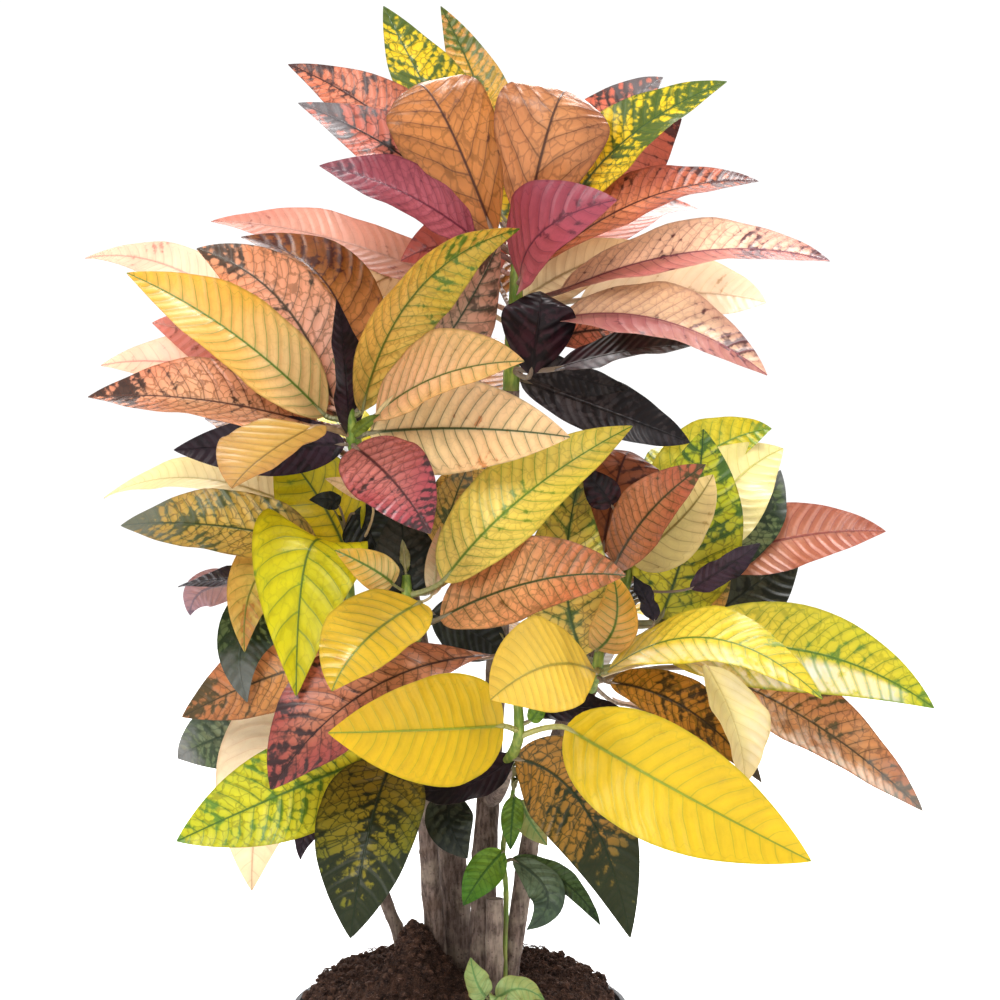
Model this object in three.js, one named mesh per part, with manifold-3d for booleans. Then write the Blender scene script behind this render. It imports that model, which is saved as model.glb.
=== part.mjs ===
// A potted croton: a plain plastic pot, its mound of soil, six woody stems and their leafy heads.
// Millimetres, +Z up, with the origin at the centre of the pot's underside.

import * as THREE from 'three';
import Module from 'manifold-3d';

const wasm = await Module();
wasm.setup();

// Driving sizes of the pot and the soil
const POT_HEIGHT = 195;
const POT_BASE_RADIUS = 90;
const POT_RIM_RADIUS = 120;
const POT_WALL = 2.4;
const POT_FLOOR = 3.2;
const RIM_BAND = 17;
const RIM_THICKNESS = 4.5;
const POT_SIDES = 40;
const DRAIN_COUNT = 8;
const DRAIN_RADIUS = 6.5;
const DRAIN_CIRCLE = 62;
const SEAT_GAP = 0.3;
const SOIL_TOP = 220;
const SOIL_DROP = 29;
const SOIL_FLAT_RADIUS = 55;
const HEAP = { x: -29, y: -38, rise: 42, spread: 22 };

// Driving sizes of the leaves
const BLADE_THICKNESS = 0.9;
const BLADE_BELLY = 0.4;
const TIP_POWER = 0.95;
const MARGIN_WAVE = 2;
const MARGIN_WAVES = 2;
const PETIOLE_RADIUS = 1.9;
const PETIOLE_SHARE = 0.036;
const BLADE_STEPS = { wide: 5, middling: 4, slight: 3 };
const FAR_STEPS = 3;
// The lower side's bands, split along the upper side's diagonals, so that a warped blade keeps its thickness
const LOWER_BANDS = [3, 4];
const WELD = 0.25;
const GOLDEN = 0.618034;

// The plant is laid out as it is seen from the front: x to the right of the pot's axis, h up from
// the soil's level and d towards the viewer, each in millimetres at the pot's axis. The viewer's
// eye stands at a known distance, a little above the middle of the plant.
const EYE_DISTANCE = 2400;
const EYE_RISE = THREE.MathUtils.degToRad(8);
const AIM_X = 28.7;
const AIM_H = 315;
const AIM_Z = 247 + AIM_H * Math.cos(EYE_RISE);
const EYE = new THREE.Vector3(
  AIM_X,
  -EYE_DISTANCE * Math.cos(EYE_RISE),
  AIM_Z + EYE_DISTANCE * Math.sin(EYE_RISE),
);

function seen([x, h, d]) {
  const across = x - AIM_X;
  const above = h - AIM_H;
  const reach = EYE_DISTANCE * Math.cos(EYE_RISE);
  const drop = EYE_DISTANCE * Math.sin(EYE_RISE);
  const s = (reach - d) / (reach + above * Math.sin(EYE_RISE));
  return new THREE.Vector3(AIM_X + s * across, -d, EYE.z + s * (above * Math.cos(EYE_RISE) - drop));
}

// Woody stems. Each run is a list of [x, h, d, radius], from the soil upwards or from its fork.
const STEMS = {
  stem_left: [
    [[-13, -46, 27, 7.4], [-17, 16, 30, 7.2], [-20, 49, 36, 6.7], [-22, 82, 42, 6.4], [-24, 119, 52, 6],
      [-28, 175, 78, 5.6], [-31, 217, 98, 5.2]],
    [[-24, 108, 49, 5], [-28, 120, 60, 5], [-33, 127, 72, 4.6]],
  ],
  stem_middle: [
    [[3, -56, 12, 11], [-1, 4, 12, 11], [-3, 42, 12, 10.5], [-6, 77, 12, 9.5], [-13, 133, 15, 8.5],
      [-34, 217, 20, 7.5], [-52, 287, 35, 6.8], [-68, 336, 55, 6.2]],
    [[-18, 150, 15, 6.4], [-22, 185, -12, 6], [-30, 232, -50, 5.6], [-38, 275, -80, 5]],
  ],
  stem_main: [
    [[12, -68, 40, 7.8], [15, -8, 38, 8], [17, 35, 34, 8.8], [18, 65, 30, 9], [21, 116, 22, 7.6],
      [27, 210, 8, 7.2], [34, 350, 0, 6.6], [36.2, 392, 1, 6.2]],
    [[21, 104, 24, 5], [26, 108, 48, 5], [31, 118, 74, 4.8], [33, 128, 92, 4.4]],
  ],
  stem_right: [
    [[31, -74, 48, 6], [36, -15, 45, 6.2], [41, 21, 43, 6.5], [49, 72, 40, 6.6], [62, 126, 42, 6.2],
      [81, 164, 58, 5.8], [92, 183, 84, 5]],
    [[70, 146, 48, 5.4], [84, 178, 40, 5.4], [98.6, 210.8, 41.8, 5.1]],
    [[57, 108, 41, 5.4], [66, 140, 8, 5.4], [78, 176, -34, 5.2], [90, 212, -66, 4.8]],
  ],
  stem_slim: [
    [[-35, -54, 5, 5], [-41, 7, 5, 4.8], [-50, 31, 5, 4.6], [-58, 56, 8, 4.4], [-66, 105, 15, 4.3],
      [-71, 174, 30, 4.2]],
  ],
  stem_cut: [
    [[24, -76, 64, 6.4], [24.5, -18, 62, 6.3], [25, 36, 60, 5.9]],
  ],
};

// Leafy heads. The shoot is a list of [x, h, d, radius]. A leaf is its base, the middle of its
// rib and its tip, its width, its roll about the rib from facing the viewer, the fold of each half
// and its colour, with the place of its widest part last where that isn't the usual one.
const HEADS = {
  head_top: {
    seat: 'stem_main',
    shoot: [[36.2, 392, 1, 5.8], [38, 434, 2, 5.4], [40, 464, 5, 4.6], [41, 506, -5, 3]],
    far: { count: 7, turn: 0, fan: 52, low: -2, high: 24, length: 155 },
    leaves: [
      [[15, 505, -10], [-43, 574, -25], [-120, 620, -50], 58, 20, 15, 'salmon_dark'],
      [[13, 502, 6], [-36, 553, 8], [-113, 593, -5], 56, 25, 15, 'salmon_black'],
      [[11, 498, 22], [-41, 531, 50], [-98, 549, 48], 52, 45, 15, 'magenta'],
      [[25, 498, 12], [-14, 590, 28], [-34, 600, -14], 78, 20, -10, 'orange_brown', 0.45],
      [[34, 508, -22], [-15, 589, -60], [-53, 661, -85], 68, 35, 15, 'yellow_net'],
      [[39, 508, -30], [19, 588, -98], [-13, 661, -120], 46, 10, 12, 'orange_green'],
      [[46, 504, 8], [67, 588, 26], [80, 595, -12], 82, -5, -10, 'tan_orange', 0.45],
      [[43, 469, 12], [60, 504, 50], [111, 525, 62], 76, -45, 15, 'magenta'],
      [[71, 510, -5], [118, 568, 8], [188, 608, 5], 58, -45, 15, 'yellow_net'],
      [[64, 514, -38], [99, 573, -60], [143, 611, -84], 52, -20, 12, 'salmon_black'],
      [[74, 505, -20], [116, 553, -30], [156, 582, -30], 58, 20, 12, 'salmon_red'],
      [[62, 484, 24], [134, 527, 36], [210, 538, 30], 52, -55, 15, 'salmon_maroon'],
      [[71, 461, 26], [169, 489, 55], [260, 482, 72], 60, -58, 15, 'peach_pink'],
      [[43, 455, 4], [81, 477, 0], [127, 495, -4], 44, -30, 12, 'cream_tan'],
      [[85, 455, 15], [162, 460, 30], [215, 453, 40], 56, -35, 12, 'cream'],
      [[71, 442, 35], [144, 440, 80], [216, 402, 100], 64, -52, 15, 'peach'],
      [[50, 402, 30], [56, 443, 54], [57, 461, 38], 52, 0, -10, 'maroon_dark', 0.45],
      [[68, 407, 44], [116, 419, 74], [163, 423, 85], 50, -65, 12, 'maroon_dark'],
      [[67, 428, 5], [99, 434, 10], [130, 430, 0], 34, -30, 12, 'salmon_black'],
      [[39, 418, 8], [81, 401, 18], [120, 393, 15], 24, 20, 10, 'black_grey'],
      [[43, 399, -10], [110, 375, 0], [162, 355, -5], 44, -25, 12, 'black_grey'],
      [[4, 462, -20], [-90, 498, -40], [-174, 510, -60], 50, 50, 12, 'pink_pale'],
      [[1, 461, -34], [-34, 475, -44], [-75, 455, -48], 44, 20, 10, 'cream_tan'],
      [[29, 476, -2], [-3, 493, -2], [-41, 482, -6], 50, 15, 12, 'pink_red'],
    ],
  },
  head_left: {
    seat: 'stem_middle',
    shoot: [[-68, 336, 55, 5.6], [-75, 363, 65, 4.8], [-78, 388, 62, 3]],
    far: { count: 5, turn: -20, fan: 24, low: -12, high: 17, length: 148 },
    leaves: [
      [[-94, 374, 60], [-159, 432, 75], [-233, 474, 70], 66, 35, 15, 'yellow'],
      [[-86, 374, 45], [-122, 451, 40], [-184, 491, 28], 60, 5, 12, 'peach_salmon'],
      [[-75, 381, 30], [-90, 462, 5], [-153, 499, -15], 66, 35, 15, 'orange_brown'],
      [[-77, 360, 66], [-80, 408, 72], [-86, 456, 70], 34, 52, 10, 'purple_dark'],
      [[-68, 377, 66], [-29, 462, 80], [43, 505, 62], 60, 45, 15, 'yellow_tip'],
      [[-58, 374, 72], [-13, 402, 112], [46, 412, 150], 68, -48, 18, 'peach_orange'],
      [[-62, 362, 75], [6, 365, 108], [78, 359, 138], 68, -10, 15, 'tan_peach'],
      [[-73, 352, 85], [-44, 326, 150], [-20, 291, 190], 56, -12, 12, 'red_pink'],
      [[-102, 366, 90], [-137, 345, 146], [-159, 323, 180], 66, 52, 18, 'ochre'],
      [[-99, 367, 70], [-181, 385, 70], [-260, 387, 50], 70, 50, 20, 'salmon_tip'],
      [[-101, 363, 45], [-143, 367, 20], [-178, 372, 12], 50, 60, 10, 'peach'],
      [[-104, 371, 44], [-178, 407, 30], [-251, 409, 20], 50, 30, 12, 'pink_pale'],
      [[-111, 406, 26], [-188, 472, 2], [-262, 484, -20], 40, 35, 12, 'pink_pale'],
      [[-111, 388, 40], [-164, 423, 34], [-215, 439, 30], 46, 10, 10, 'pink'],
      [[-80, 354, 66], [-139, 353, 70], [-200, 350, 66], 42, -5, 12, 'purple_dark'],
      [[-31, 406, 48], [-3, 437, 36], [29, 497, 22], 56, 30, 12, 'beige_pink'],
      [[-27, 420, 34], [-5, 451, 24], [16, 477, 20], 30, 60, 10, 'purple_dark'],
      [[-55, 356, 68], [8, 343, 84], [60, 337, 90], 40, -60, 10, 'purple_dark'],
      [[-75, 360, 68], [-66, 368, 76], [-55, 375, 82], 9, 0, 10, 'olive_young'],
    ],
  },
  head_middle: {
    seat: 'stem_left',
    shoot: [[-31, 217, 98, 4.8], [-36, 245, 110, 4], [-37, 262, 104, 2.8]],
    leaves: [
      [[-11, 258, 116], [46, 318, 112], [122, 367, 86], 62, -30, 15, 'yellow_gloss'],
      [[-13, 232, 112], [53, 258, 144], [117, 262, 168], 63, -30, 15, 'orange'],
      [[-34, 246, 105], [-38, 276, 98], [-41, 311, 74], 44, 10, 12, 'green_dark'],
      [[-46, 256, 118], [-61, 267, 126], [-87, 280, 122], 26, 0, 10, 'yellow'],
      [[-27, 243, 122], [-66, 216, 190], [-89, 181, 225], 61, 25, 15, 'ochre_yellow'],
      [[-19, 252, 88], [-8, 301, 62], [8, 342, 45], 40, 30, 12, 'olive_net'],
      [[-19, 248, 112], [-15, 273, 106], [-13, 297, 100], 16, 0, 8, 'beige'],
      [[-20, 236, 92], [8, 224, 66], [34, 206, 46], 46, -10, 12, 'black_green'],
    ],
  },
  head_lower_left: {
    seat: 'stem_slim',
    shoot: [[-71, 174, 30, 3.9], [-75, 230, 46, 3.6], [-78, 285, 58, 2.6]],
    far: { count: 3, turn: -12, fan: 26, low: -28, high: -4, length: 125 },
    leaves: [
      [[-83, 272, 75], [-106, 277, 112], [-114, 177, 150], 82, 0, 8, 'yellow_lime'],
      [[-90, 273, 45], [-138, 265, 70], [-150, 208, 86], 44, 0, 10, 'yellow_pale'],
      [[-90, 252, 35], [-146, 227, 60], [-148, 173, 75], 44, 0, 10, 'green_mottled'],
      [[-80, 206, 60], [-138, 189, 60], [-194, 163, 46], 58, 20, 12, 'orange_net'],
      [[-104, 252, 30], [-153, 260, 30], [-197, 254, 20], 28, 60, 8, 'purple_dark'],
      [[-146, 255, 12], [-178, 252, 6], [-188, 234, 4], 26, 0, 8, 'mauve'],
      [[-99, 283, 70], [-171, 297, 66], [-237, 297, 44], 56, 35, 15, 'olive_net'],
      [[-97, 301, 30], [-181, 330, -5], [-249, 316, -30], 44, 55, 12, 'cream_pale'],
      [[-80, 281, 60], [-99, 318, 46], [-129, 357, 22], 70, -20, 12, 'yellow_lime'],
      [[-61, 315, 84], [-76, 324, 86], [-94, 330, 86], 12, 0, 8, 'cream_tan'],
      [[-84, 311, 78], [-92, 315, 84], [-105, 315, 86], 13, 0, 8, 'black_green'],
      [[-97, 182, 48], [-134, 126, 45], [-145, 41, 60], 74, 10, 10, 'peach_pale'],
      [[-111, 161, 36], [-164, 150, 22], [-197, 134, 18], 50, 0, 10, 'green_silver'],
      [[-74, 306, 66], [-62, 290, 68], [-48, 258, 72], 36, 0, 10, 'black_green'],
    ],
  },
  head_low: {
    seat: 'stem_left',
    shoot: [[-33, 127, 72, 4.2], [-38, 136, 82, 3.8], [-41, 146, 88, 2.8]],
    leaves: [
      [[-59, 136, 95], [-129, 107, 120], [-198, 76, 130], 66, 0, 12, 'lime_net'],
      [[-47, 133, 95], [-64, 78, 150], [-76, 8, 165], 74, 15, 15, 'green_gold'],
      [[-66, 129, 90], [-99, 99, 88], [-111, 63, 92], 30, 30, 10, 'purple_dark'],
    ],
  },
  head_right: {
    seat: 'stem_right',
    shoot: [[98.6, 210.8, 41.8, 4.8], [112, 242, 50, 4.6], [118, 265, 60, 3.8], [122, 302, 52, 2.6]],
    far: { count: 3, turn: 14, fan: 25, low: 12, high: 18, length: 145 },
    leaves: [
      [[100, 277, 55], [113, 337, 62], [122, 346, 32], 66, -5, -10, 'rust', 0.45],
      [[109, 269, 78], [135, 308, 116], [173, 340, 136], 44, -25, 15, 'rust_green'],
      [[120, 273, 72], [155, 301, 92], [178, 333, 98], 50, -15, 12, 'cream_tan'],
      [[141, 232, 52], [162, 298, 58], [171, 365, 52], 76, 10, 12, 'green_cells'],
      [[137, 315, 15], [177, 350, -10], [219, 365, -15], 50, -30, 12, 'yellow_shine'],
      [[165, 273, 35], [188, 322, 25], [227, 351, -30], 62, 0, 12, 'cream_pale'],
      [[169, 266, 20], [207, 301, 15], [225, 336, -5], 40, 20, 12, 'green_mottled'],
      [[172, 269, 15], [235, 289, 10], [299, 293, 20], 50, -20, 12, 'salmon'],
      [[150, 214, 15], [198, 249, -8], [239, 280, -30], 62, 0, 10, 'green_dark'],
      [[162, 253, 74], [188, 269, 80], [211, 285, 80], 22, 30, 10, 'purple_dark'],
      [[134, 227, 50], [165, 245, 48], [190, 265, 44], 44, 0, 10, 'tan_net'],
      [[107, 311, 88], [99, 322, 92], [87, 337, 92], 24, 0, 8, 'maroon_dark'],
    ],
  },
  head_lower_right: {
    seat: 'stem_right',
    shoot: [[92, 183, 84, 4.6], [97, 200, 98, 3.8], [100, 224, 98, 2.6]],
    far: { count: 1, turn: 44, fan: 0, low: -34, high: -34, length: 110 },
    leaves: [
      [[104, 195, 110], [177, 218, 140], [255, 175, 165], 62, -52, 5, 'yellow_gloss'],
      [[144, 206, 85], [244, 209, 80], [333, 169, 75], 62, -8, 12, 'yellow_shine'],
      [[169, 197, 72], [249, 158, 78], [325, 97, 90], 58, -35, 15, 'tan_brown'],
      [[106, 187, 105], [162, 167, 120], [212, 117, 125], 40, -30, 12, 'brown_net'],
      [[173, 199, 105], [193, 157, 130], [200, 116, 140], 64, -58, 15, 'cream_gloss'],
      [[96, 194, 112], [62, 199, 208], [22, 175, 248], 66, 10, 12, 'yellow_tan', 0.55],
      [[87, 206, 98], [75, 262, 104], [85, 332, 60], 60, 0, 12, 'mottled_yellow'],
      [[96, 210, 104], [110, 231, 132], [107, 265, 130], 32, 0, 10, 'yellow'],
      [[137, 230, 88], [130, 247, 84], [122, 262, 80], 16, 40, 8, 'purple_black'],
    ],
  },
  head_front: {
    seat: 'stem_main',
    shoot: [[33, 128, 92, 4], [42, 152, 116, 3.6], [38, 200, 100, 2.6]],
    leaves: [
      [[31, 157, 130], [-24, 154, 190], [-92, 152, 235], 76, -5, 12, 'yellow_gold'],
      [[75, 156, 132], [155, 110, 172], [247, 62, 175], 80, 6, 12, 'yellow_gold'],
      [[39, 134, 105], [88, 99, 105], [120, 8, 120], 66, 5, 12, 'green_orange'],
      [[29, 206, 95], [-61, 183, 145], [-132, 112, 165], 82, 42, 15, 'red_long', 0.62],
      [[57, 164, 110], [85, 170, 115], [116, 167, 115], 24, -40, 8, 'purple_black'],
      [[39, 136, 100], [4, 115, 100], [-36, 112, 95], 36, 40, 10, 'purple_black'],
      [[-5, 108, 60], [-6, 87, 75], [6, 64, 75], 34, 0, 10, 'green_dark'],
      [[50, 160, 120], [55, 167, 122], [60, 174, 122], 12, 0, 8, 'green_young'],
    ],
  },
  shoot_small: {
    shoot: [[34, -55, 57, 1.9], [32, -8, 53, 1.9], [33, 40, 51, 1.8], [31, 72, 49, 1.7], [38, 112, 47, 1.4]],
    leaves: [
      [[31, 69, 55], [16, 52, 62], [3, 31, 65], 26, 0, 10, 'green_bright'],
      [[37, 64, 50], [73, 48, 60], [99, 17, 65], 18, -20, 10, 'green_gloss'],
      [[38, 63, 52], [62, 38, 72], [47, 14, 75], 26, 0, 10, 'green_grey'],
      [[43, 105, 45], [50, 90, 48], [62, 73, 50], 22, 0, 10, 'green_pale'],
      [[39, 108, 48], [37, 90, 50], [36, 70, 50], 16, 0, 8, 'green_bright'],
    ],
  },
  head_back_left: {
    seat: 'stem_middle',
    shoot: [[-38, 275, -80, 4.6], [-42, 300, -96, 4], [-45, 340, -108, 2.8]],
    far: { count: 8, turn: 0, fan: 64, low: -20, high: 24, length: 155 },
    leaves: [],
  },
  head_back_right: {
    seat: 'stem_right',
    shoot: [[90, 212, -66, 4.4], [95, 235, -82, 3.8], [98, 268, -92, 2.6]],
    far: { count: 7, turn: 0, fan: 60, low: -26, high: 20, length: 150 },
    leaves: [],
  },
  seedling: {
    shoot: [[20, -80, 84, 1.6], [20, -54, 84, 1.5], [21, -34, 84, 1.4]],
    leaves: [
      [[19, -33, 88], [12, -22, 92], [8, -5, 90], 20, 20, 12, 'green_pale'],
      [[24, -36, 90], [27, -33, 97], [20, -41, 102], 13, 30, 8, 'green_pale'],
      [[27, -34, 87], [43, -27, 94], [60, -35, 102], 22, 20, 10, 'green_pale'],
    ],
  },
};

// Colours of the leaves' upper sides, which tint each head's material
const HEAD_COLOURS = {
  head_top: 0xc8785a,
  head_left: 0xd9a56a,
  head_middle: 0xd9b25a,
  head_lower_left: 0xb9ae3c,
  head_low: 0x8f9238,
  head_right: 0xb9a860,
  head_lower_right: 0xdcc45e,
  head_front: 0xd8b83a,
  head_back_left: 0xb08a4c,
  head_back_right: 0xa59a48,
  shoot_small: 0x76903c,
  seedling: 0x9db37a,
};

function solidFrom(vertices, triangles) {
  const solid = new wasm.Manifold(new wasm.Mesh({
    numProp: 3,
    vertProperties: new Float32Array(vertices),
    triVerts: new Uint32Array(triangles),
  }));
  return solid;
}

function volumeOf(vertices, triangles) {
  let six = 0;
  const corner = (i) => new THREE.Vector3(vertices[3 * i], vertices[3 * i + 1], vertices[3 * i + 2]);
  for (let i = 0; i < triangles.length; i += 3) {
    const [a, b, c] = [corner(triangles[i]), corner(triangles[i + 1]), corner(triangles[i + 2])];
    six += a.dot(b.cross(c));
  }
  return six / 6;
}

// Join solids less what is cut away, and keep the largest shell alone, which fills any sealed hollow
function fuse(solids, cut) {
  const joined = wasm.Manifold.union(solids);
  const left = cut ? joined.subtract(cut) : joined;
  const { vertProperties, triVerts } = left.simplify(WELD).getMesh();
  const owner = Array.from({ length: vertProperties.length / 3 }, (value, i) => i);
  const find = (i) => {
    let top = i;
    while (owner[top] !== top) top = owner[top];
    owner[i] = top;
    return top;
  };
  for (let i = 0; i < triVerts.length; i += 3) {
    owner[find(triVerts[i + 1])] = find(triVerts[i]);
    owner[find(triVerts[i + 2])] = find(triVerts[i]);
  }
  const shells = new Map();
  for (let i = 0; i < triVerts.length; i += 3) {
    const key = find(triVerts[i]);
    if (!shells.has(key)) shells.set(key, []);
    shells.get(key).push(triVerts[i], triVerts[i + 1], triVerts[i + 2]);
  }
  const size = (shell) => volumeOf(vertProperties, shell);
  const sorted = [...shells.values()].sort((a, b) => size(b) - size(a));
  return solidFrom(vertProperties, sorted[0]);
}

// Rings of equal point counts, closed by a cap at each end
function loft(rings) {
  const sides = rings[0].length;
  const vertices = [];
  const triangles = [];
  for (const ring of rings) {
    for (const p of ring) vertices.push(p.x, p.y, p.z);
  }
  for (let i = 0; i < rings.length - 1; i += 1) {
    for (let j = 0; j < sides; j += 1) {
      const a = i * sides + j;
      const b = i * sides + ((j + 1) % sides);
      const c = a + sides;
      const d = b + sides;
      triangles.push(a, b, d, a, d, c);
    }
  }
  const last = (rings.length - 1) * sides;
  for (let j = 1; j < sides - 1; j += 1) {
    triangles.push(0, j + 1, j);
    triangles.push(last, last + j, last + j + 1);
  }
  return solidFrom(vertices, triangles);
}

// A round limb through the run's points, slightly knobbly where old leaves have dropped
function limb(points, radii, sides, step, knobs) {
  const curve = new THREE.CatmullRomCurve3(points, false, 'centripetal');
  const count = Math.max(2, Math.round(curve.getLength() / step));
  const frames = curve.computeFrenetFrames(count, false);
  const rings = [];
  for (let i = 0; i <= count; i += 1) {
    const t = i / count;
    const centre = curve.getPointAt(t);
    const place = curve.getUtoTmapping(t) * (radii.length - 1);
    const k = Math.min(Math.floor(place), radii.length - 2);
    const radius = THREE.MathUtils.lerp(radii[k], radii[k + 1], place - k);
    const ring = [];
    for (let j = 0; j < sides; j += 1) {
      const angle = (2 * Math.PI * j) / sides;
      const bump = 1 + knobs * Math.sin(i * 2.4 + j * 1.9);
      const offset = frames.normals[i].clone().multiplyScalar(Math.cos(angle) * radius * bump);
      offset.addScaledVector(frames.binormals[i], Math.sin(angle) * radius * bump);
      ring.push(centre.clone().add(offset));
    }
    rings.push(ring);
  }
  return loft(rings);
}

function runOf(run) {
  return { points: run.map(seen), radii: run.map((p) => p[3]) };
}

// How wide the blade is at t, from 0 at its base to 1 at its tip
function bladeShape(t, belly) {
  const rise = (TIP_POWER * belly) / (1 - belly);
  const top = belly ** rise * (1 - belly) ** TIP_POWER;
  return (t ** rise * (1 - t) ** TIP_POWER) / top;
}

// The blade's cross-sections from base to tip: six points each, the upper side's right edge, rib
// and left edge, then the lower side's left edge, rib and right edge
function bladeRings(leaf, steps) {
  const { base, middle, tip, width, roll, fold, belly, facing } = leaf;
  const pull = middle.clone().multiplyScalar(2).sub(base.clone().add(tip).multiplyScalar(0.5));
  const chord = tip.clone().sub(base).normalize();
  const side = facing.clone().cross(chord).normalize();
  const face = chord.clone().cross(side);
  const across = side.multiplyScalar(Math.cos(roll)).addScaledVector(face, Math.sin(roll));
  const rings = [];
  for (let i = 0; i <= steps; i += 1) {
    const t = THREE.MathUtils.lerp(0.004, 0.985, i / steps);
    const rib = base.clone().multiplyScalar((1 - t) ** 2);
    rib.addScaledVector(pull, 2 * t * (1 - t)).addScaledVector(tip, t * t);
    const along = pull.clone().sub(base).multiplyScalar(1 - t);
    along.addScaledVector(tip.clone().sub(pull), t).normalize();
    const s = across.clone().addScaledVector(along, -across.dot(along)).normalize();
    const n = along.clone().cross(s);
    const half = (width / 2) * bladeShape(t, belly);
    const sheet = [1, 0, -1].map((q) => {
      const ripple = Math.sin(2 * Math.PI * MARGIN_WAVES * t + (q > 0 ? 1.7 : 0));
      const lift = Math.abs(q) * (half * Math.sin(fold) + MARGIN_WAVE * bladeShape(t, belly) * ripple);
      return rib.clone().addScaledVector(s, q * half * Math.cos(fold)).addScaledVector(n, lift);
    });
    const upper = sheet.map((p) => p.clone().addScaledVector(n, BLADE_THICKNESS / 2));
    const lower = sheet.map((p) => p.clone().addScaledVector(n, -BLADE_THICKNESS / 2)).reverse();
    rings.push({ points: [...upper, ...lower], along, s, n });
  }
  return rings;
}

// The stalk's sections from inside the shoot to near the blade: right, upper, left and lower point
function stalkRings(leaf, shoot, start) {
  const curve = new THREE.CatmullRomCurve3(shoot.points);
  let nearest = 0;
  let least = Infinity;
  for (let i = 0; i <= 40; i += 1) {
    const gap = curve.getPoint(i / 40).distanceTo(leaf.base);
    if (gap < least) {
      least = gap;
      nearest = i / 40;
    }
  }
  const lowering = (0.3 * least) / curve.getLength();
  const root = curve.getPoint(Math.max(0.12, nearest - lowering));
  const bend = leaf.base.clone().addScaledVector(start.along, -0.3 * least).lerp(root, 0.2);
  const radius = Math.min(PETIOLE_RADIUS, Math.max(0.9, leaf.width * PETIOLE_SHARE));
  const radii = [radius * 1.15, radius];
  return [root, bend].map((centre, i) => {
    const ahead = (i === 0 ? bend : leaf.base).clone().sub(centre).normalize();
    const turn = new THREE.Quaternion().setFromUnitVectors(start.along, ahead);
    const s = start.s.clone().applyQuaternion(turn).multiplyScalar(radii[i]);
    const n = start.n.clone().applyQuaternion(turn).multiplyScalar(radii[i]);
    return [centre.clone().add(s), centre.clone().add(n), centre.clone().sub(s), centre.clone().sub(n)];
  });
}

// A whole leaf as one closed skin: its stalk, and a thin folded blade with waved margins
function leafSolid(leaf, steps, shoot) {
  const blade = bladeRings(leaf, steps);
  const stalk = stalkRings(leaf, shoot, blade[0]);
  const vertices = [];
  for (const p of [...stalk.flat(), ...blade.flatMap((ring) => ring.points)]) vertices.push(p.x, p.y, p.z);
  const triangles = [0, 2, 1, 0, 3, 2];
  const band = (first, second, count, turned = []) => {
    for (let j = 0; j < count; j += 1) {
      const k = (j + 1) % count;
      const [a, b, c, d] = [first + j, first + k, second + j, second + k];
      if (turned.includes(j)) triangles.push(a, b, c, b, d, c);
      else triangles.push(a, b, d, a, d, c);
    }
  };
  for (let i = 0; i < stalk.length - 1; i += 1) band(4 * i, 4 * i + 4, 4);
  const [right, top, left, low] = [0, 1, 2, 3].map((j) => 4 * (stalk.length - 1) + j);
  const foot = 4 * stalk.length;
  const [ur, um, ul, ll, lm, lr] = [0, 1, 2, 3, 4, 5].map((j) => foot + j);
  triangles.push(right, ur, lr, right, top, ur, top, um, ur, top, ul, um, top, left, ul);
  triangles.push(left, ll, ul, left, low, ll, low, lm, ll, low, lr, lm, low, right, lr);
  for (let i = 0; i < blade.length - 1; i += 1) {
    const a = foot + 6 * i;
    band(a, a + 6, 6, LOWER_BANDS);
  }
  const end = foot + 6 * (blade.length - 1);
  triangles.push(end, end + 1, end + 4, end, end + 4, end + 5);
  triangles.push(end + 1, end + 2, end + 3, end + 1, end + 3, end + 4);
  return solidFrom(vertices, triangles);
}

function nearLeaf([base, middle, tip, width, roll, fold, , belly]) {
  const leaf = { base: seen(base), middle: seen(middle), tip: seen(tip), width };
  leaf.roll = THREE.MathUtils.degToRad(roll);
  leaf.fold = THREE.MathUtils.degToRad(fold);
  leaf.belly = belly ?? BLADE_BELLY;
  leaf.facing = EYE.clone().sub(leaf.middle).normalize();
  return leaf;
}

// Leaves of a head's far side, spread by the golden ratio over a fan about the turn from straight
// away, the lowest and flattest first
function farLeaves(shoot, far) {
  const curve = new THREE.CatmullRomCurve3(shoot.points);
  const up = new THREE.Vector3(0, 0, 1);
  const leaves = [];
  for (let k = 0; k < far.count; k += 1) {
    const share = (0.5 + k * GOLDEN) % 1;
    const azimuth = THREE.MathUtils.degToRad(far.turn + far.fan * (2 * share - 1));
    const level = far.count > 1 ? k / (far.count - 1) : 0;
    const rise = THREE.MathUtils.degToRad(THREE.MathUtils.lerp(far.low, far.high, level));
    const length = far.length * (0.84 + 0.16 * ((0.3 + k * 0.382) % 1));
    const aim = new THREE.Vector3(
      Math.sin(azimuth) * Math.cos(rise),
      Math.cos(azimuth) * Math.cos(rise),
      Math.sin(rise),
    );
    const base = curve.getPoint(0.1 + 0.85 * level).addScaledVector(aim, 30);
    const tip = base.clone().addScaledVector(aim, length);
    const middle = base.clone().add(tip).multiplyScalar(0.5).addScaledVector(up, 0.11 * length);
    const roll = THREE.MathUtils.degToRad(22 * Math.sin(k * 2.1));
    leaves.push({ base, middle, tip, width: 0.4 * length, roll, fold: 0.24, belly: BLADE_BELLY, facing: up });
  }
  return leaves;
}

function stepsFor(width) {
  if (width >= 56) return BLADE_STEPS.wide;
  return width >= 30 ? BLADE_STEPS.middling : BLADE_STEPS.slight;
}

function headSolid(head) {
  const shoot = runOf(head.shoot);
  const solids = [limb(shoot.points, shoot.radii, 6, 24, 0.03)];
  for (const row of head.leaves) solids.push(leafSolid(nearLeaf(row), stepsFor(row[3]), shoot));
  if (head.far) {
    for (const leaf of farLeaves(shoot, head.far)) solids.push(leafSolid(leaf, FAR_STEPS, shoot));
  }
  return fuse(solids, head.seat && stemSolid(STEMS[head.seat], SEAT_GAP));
}

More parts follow.
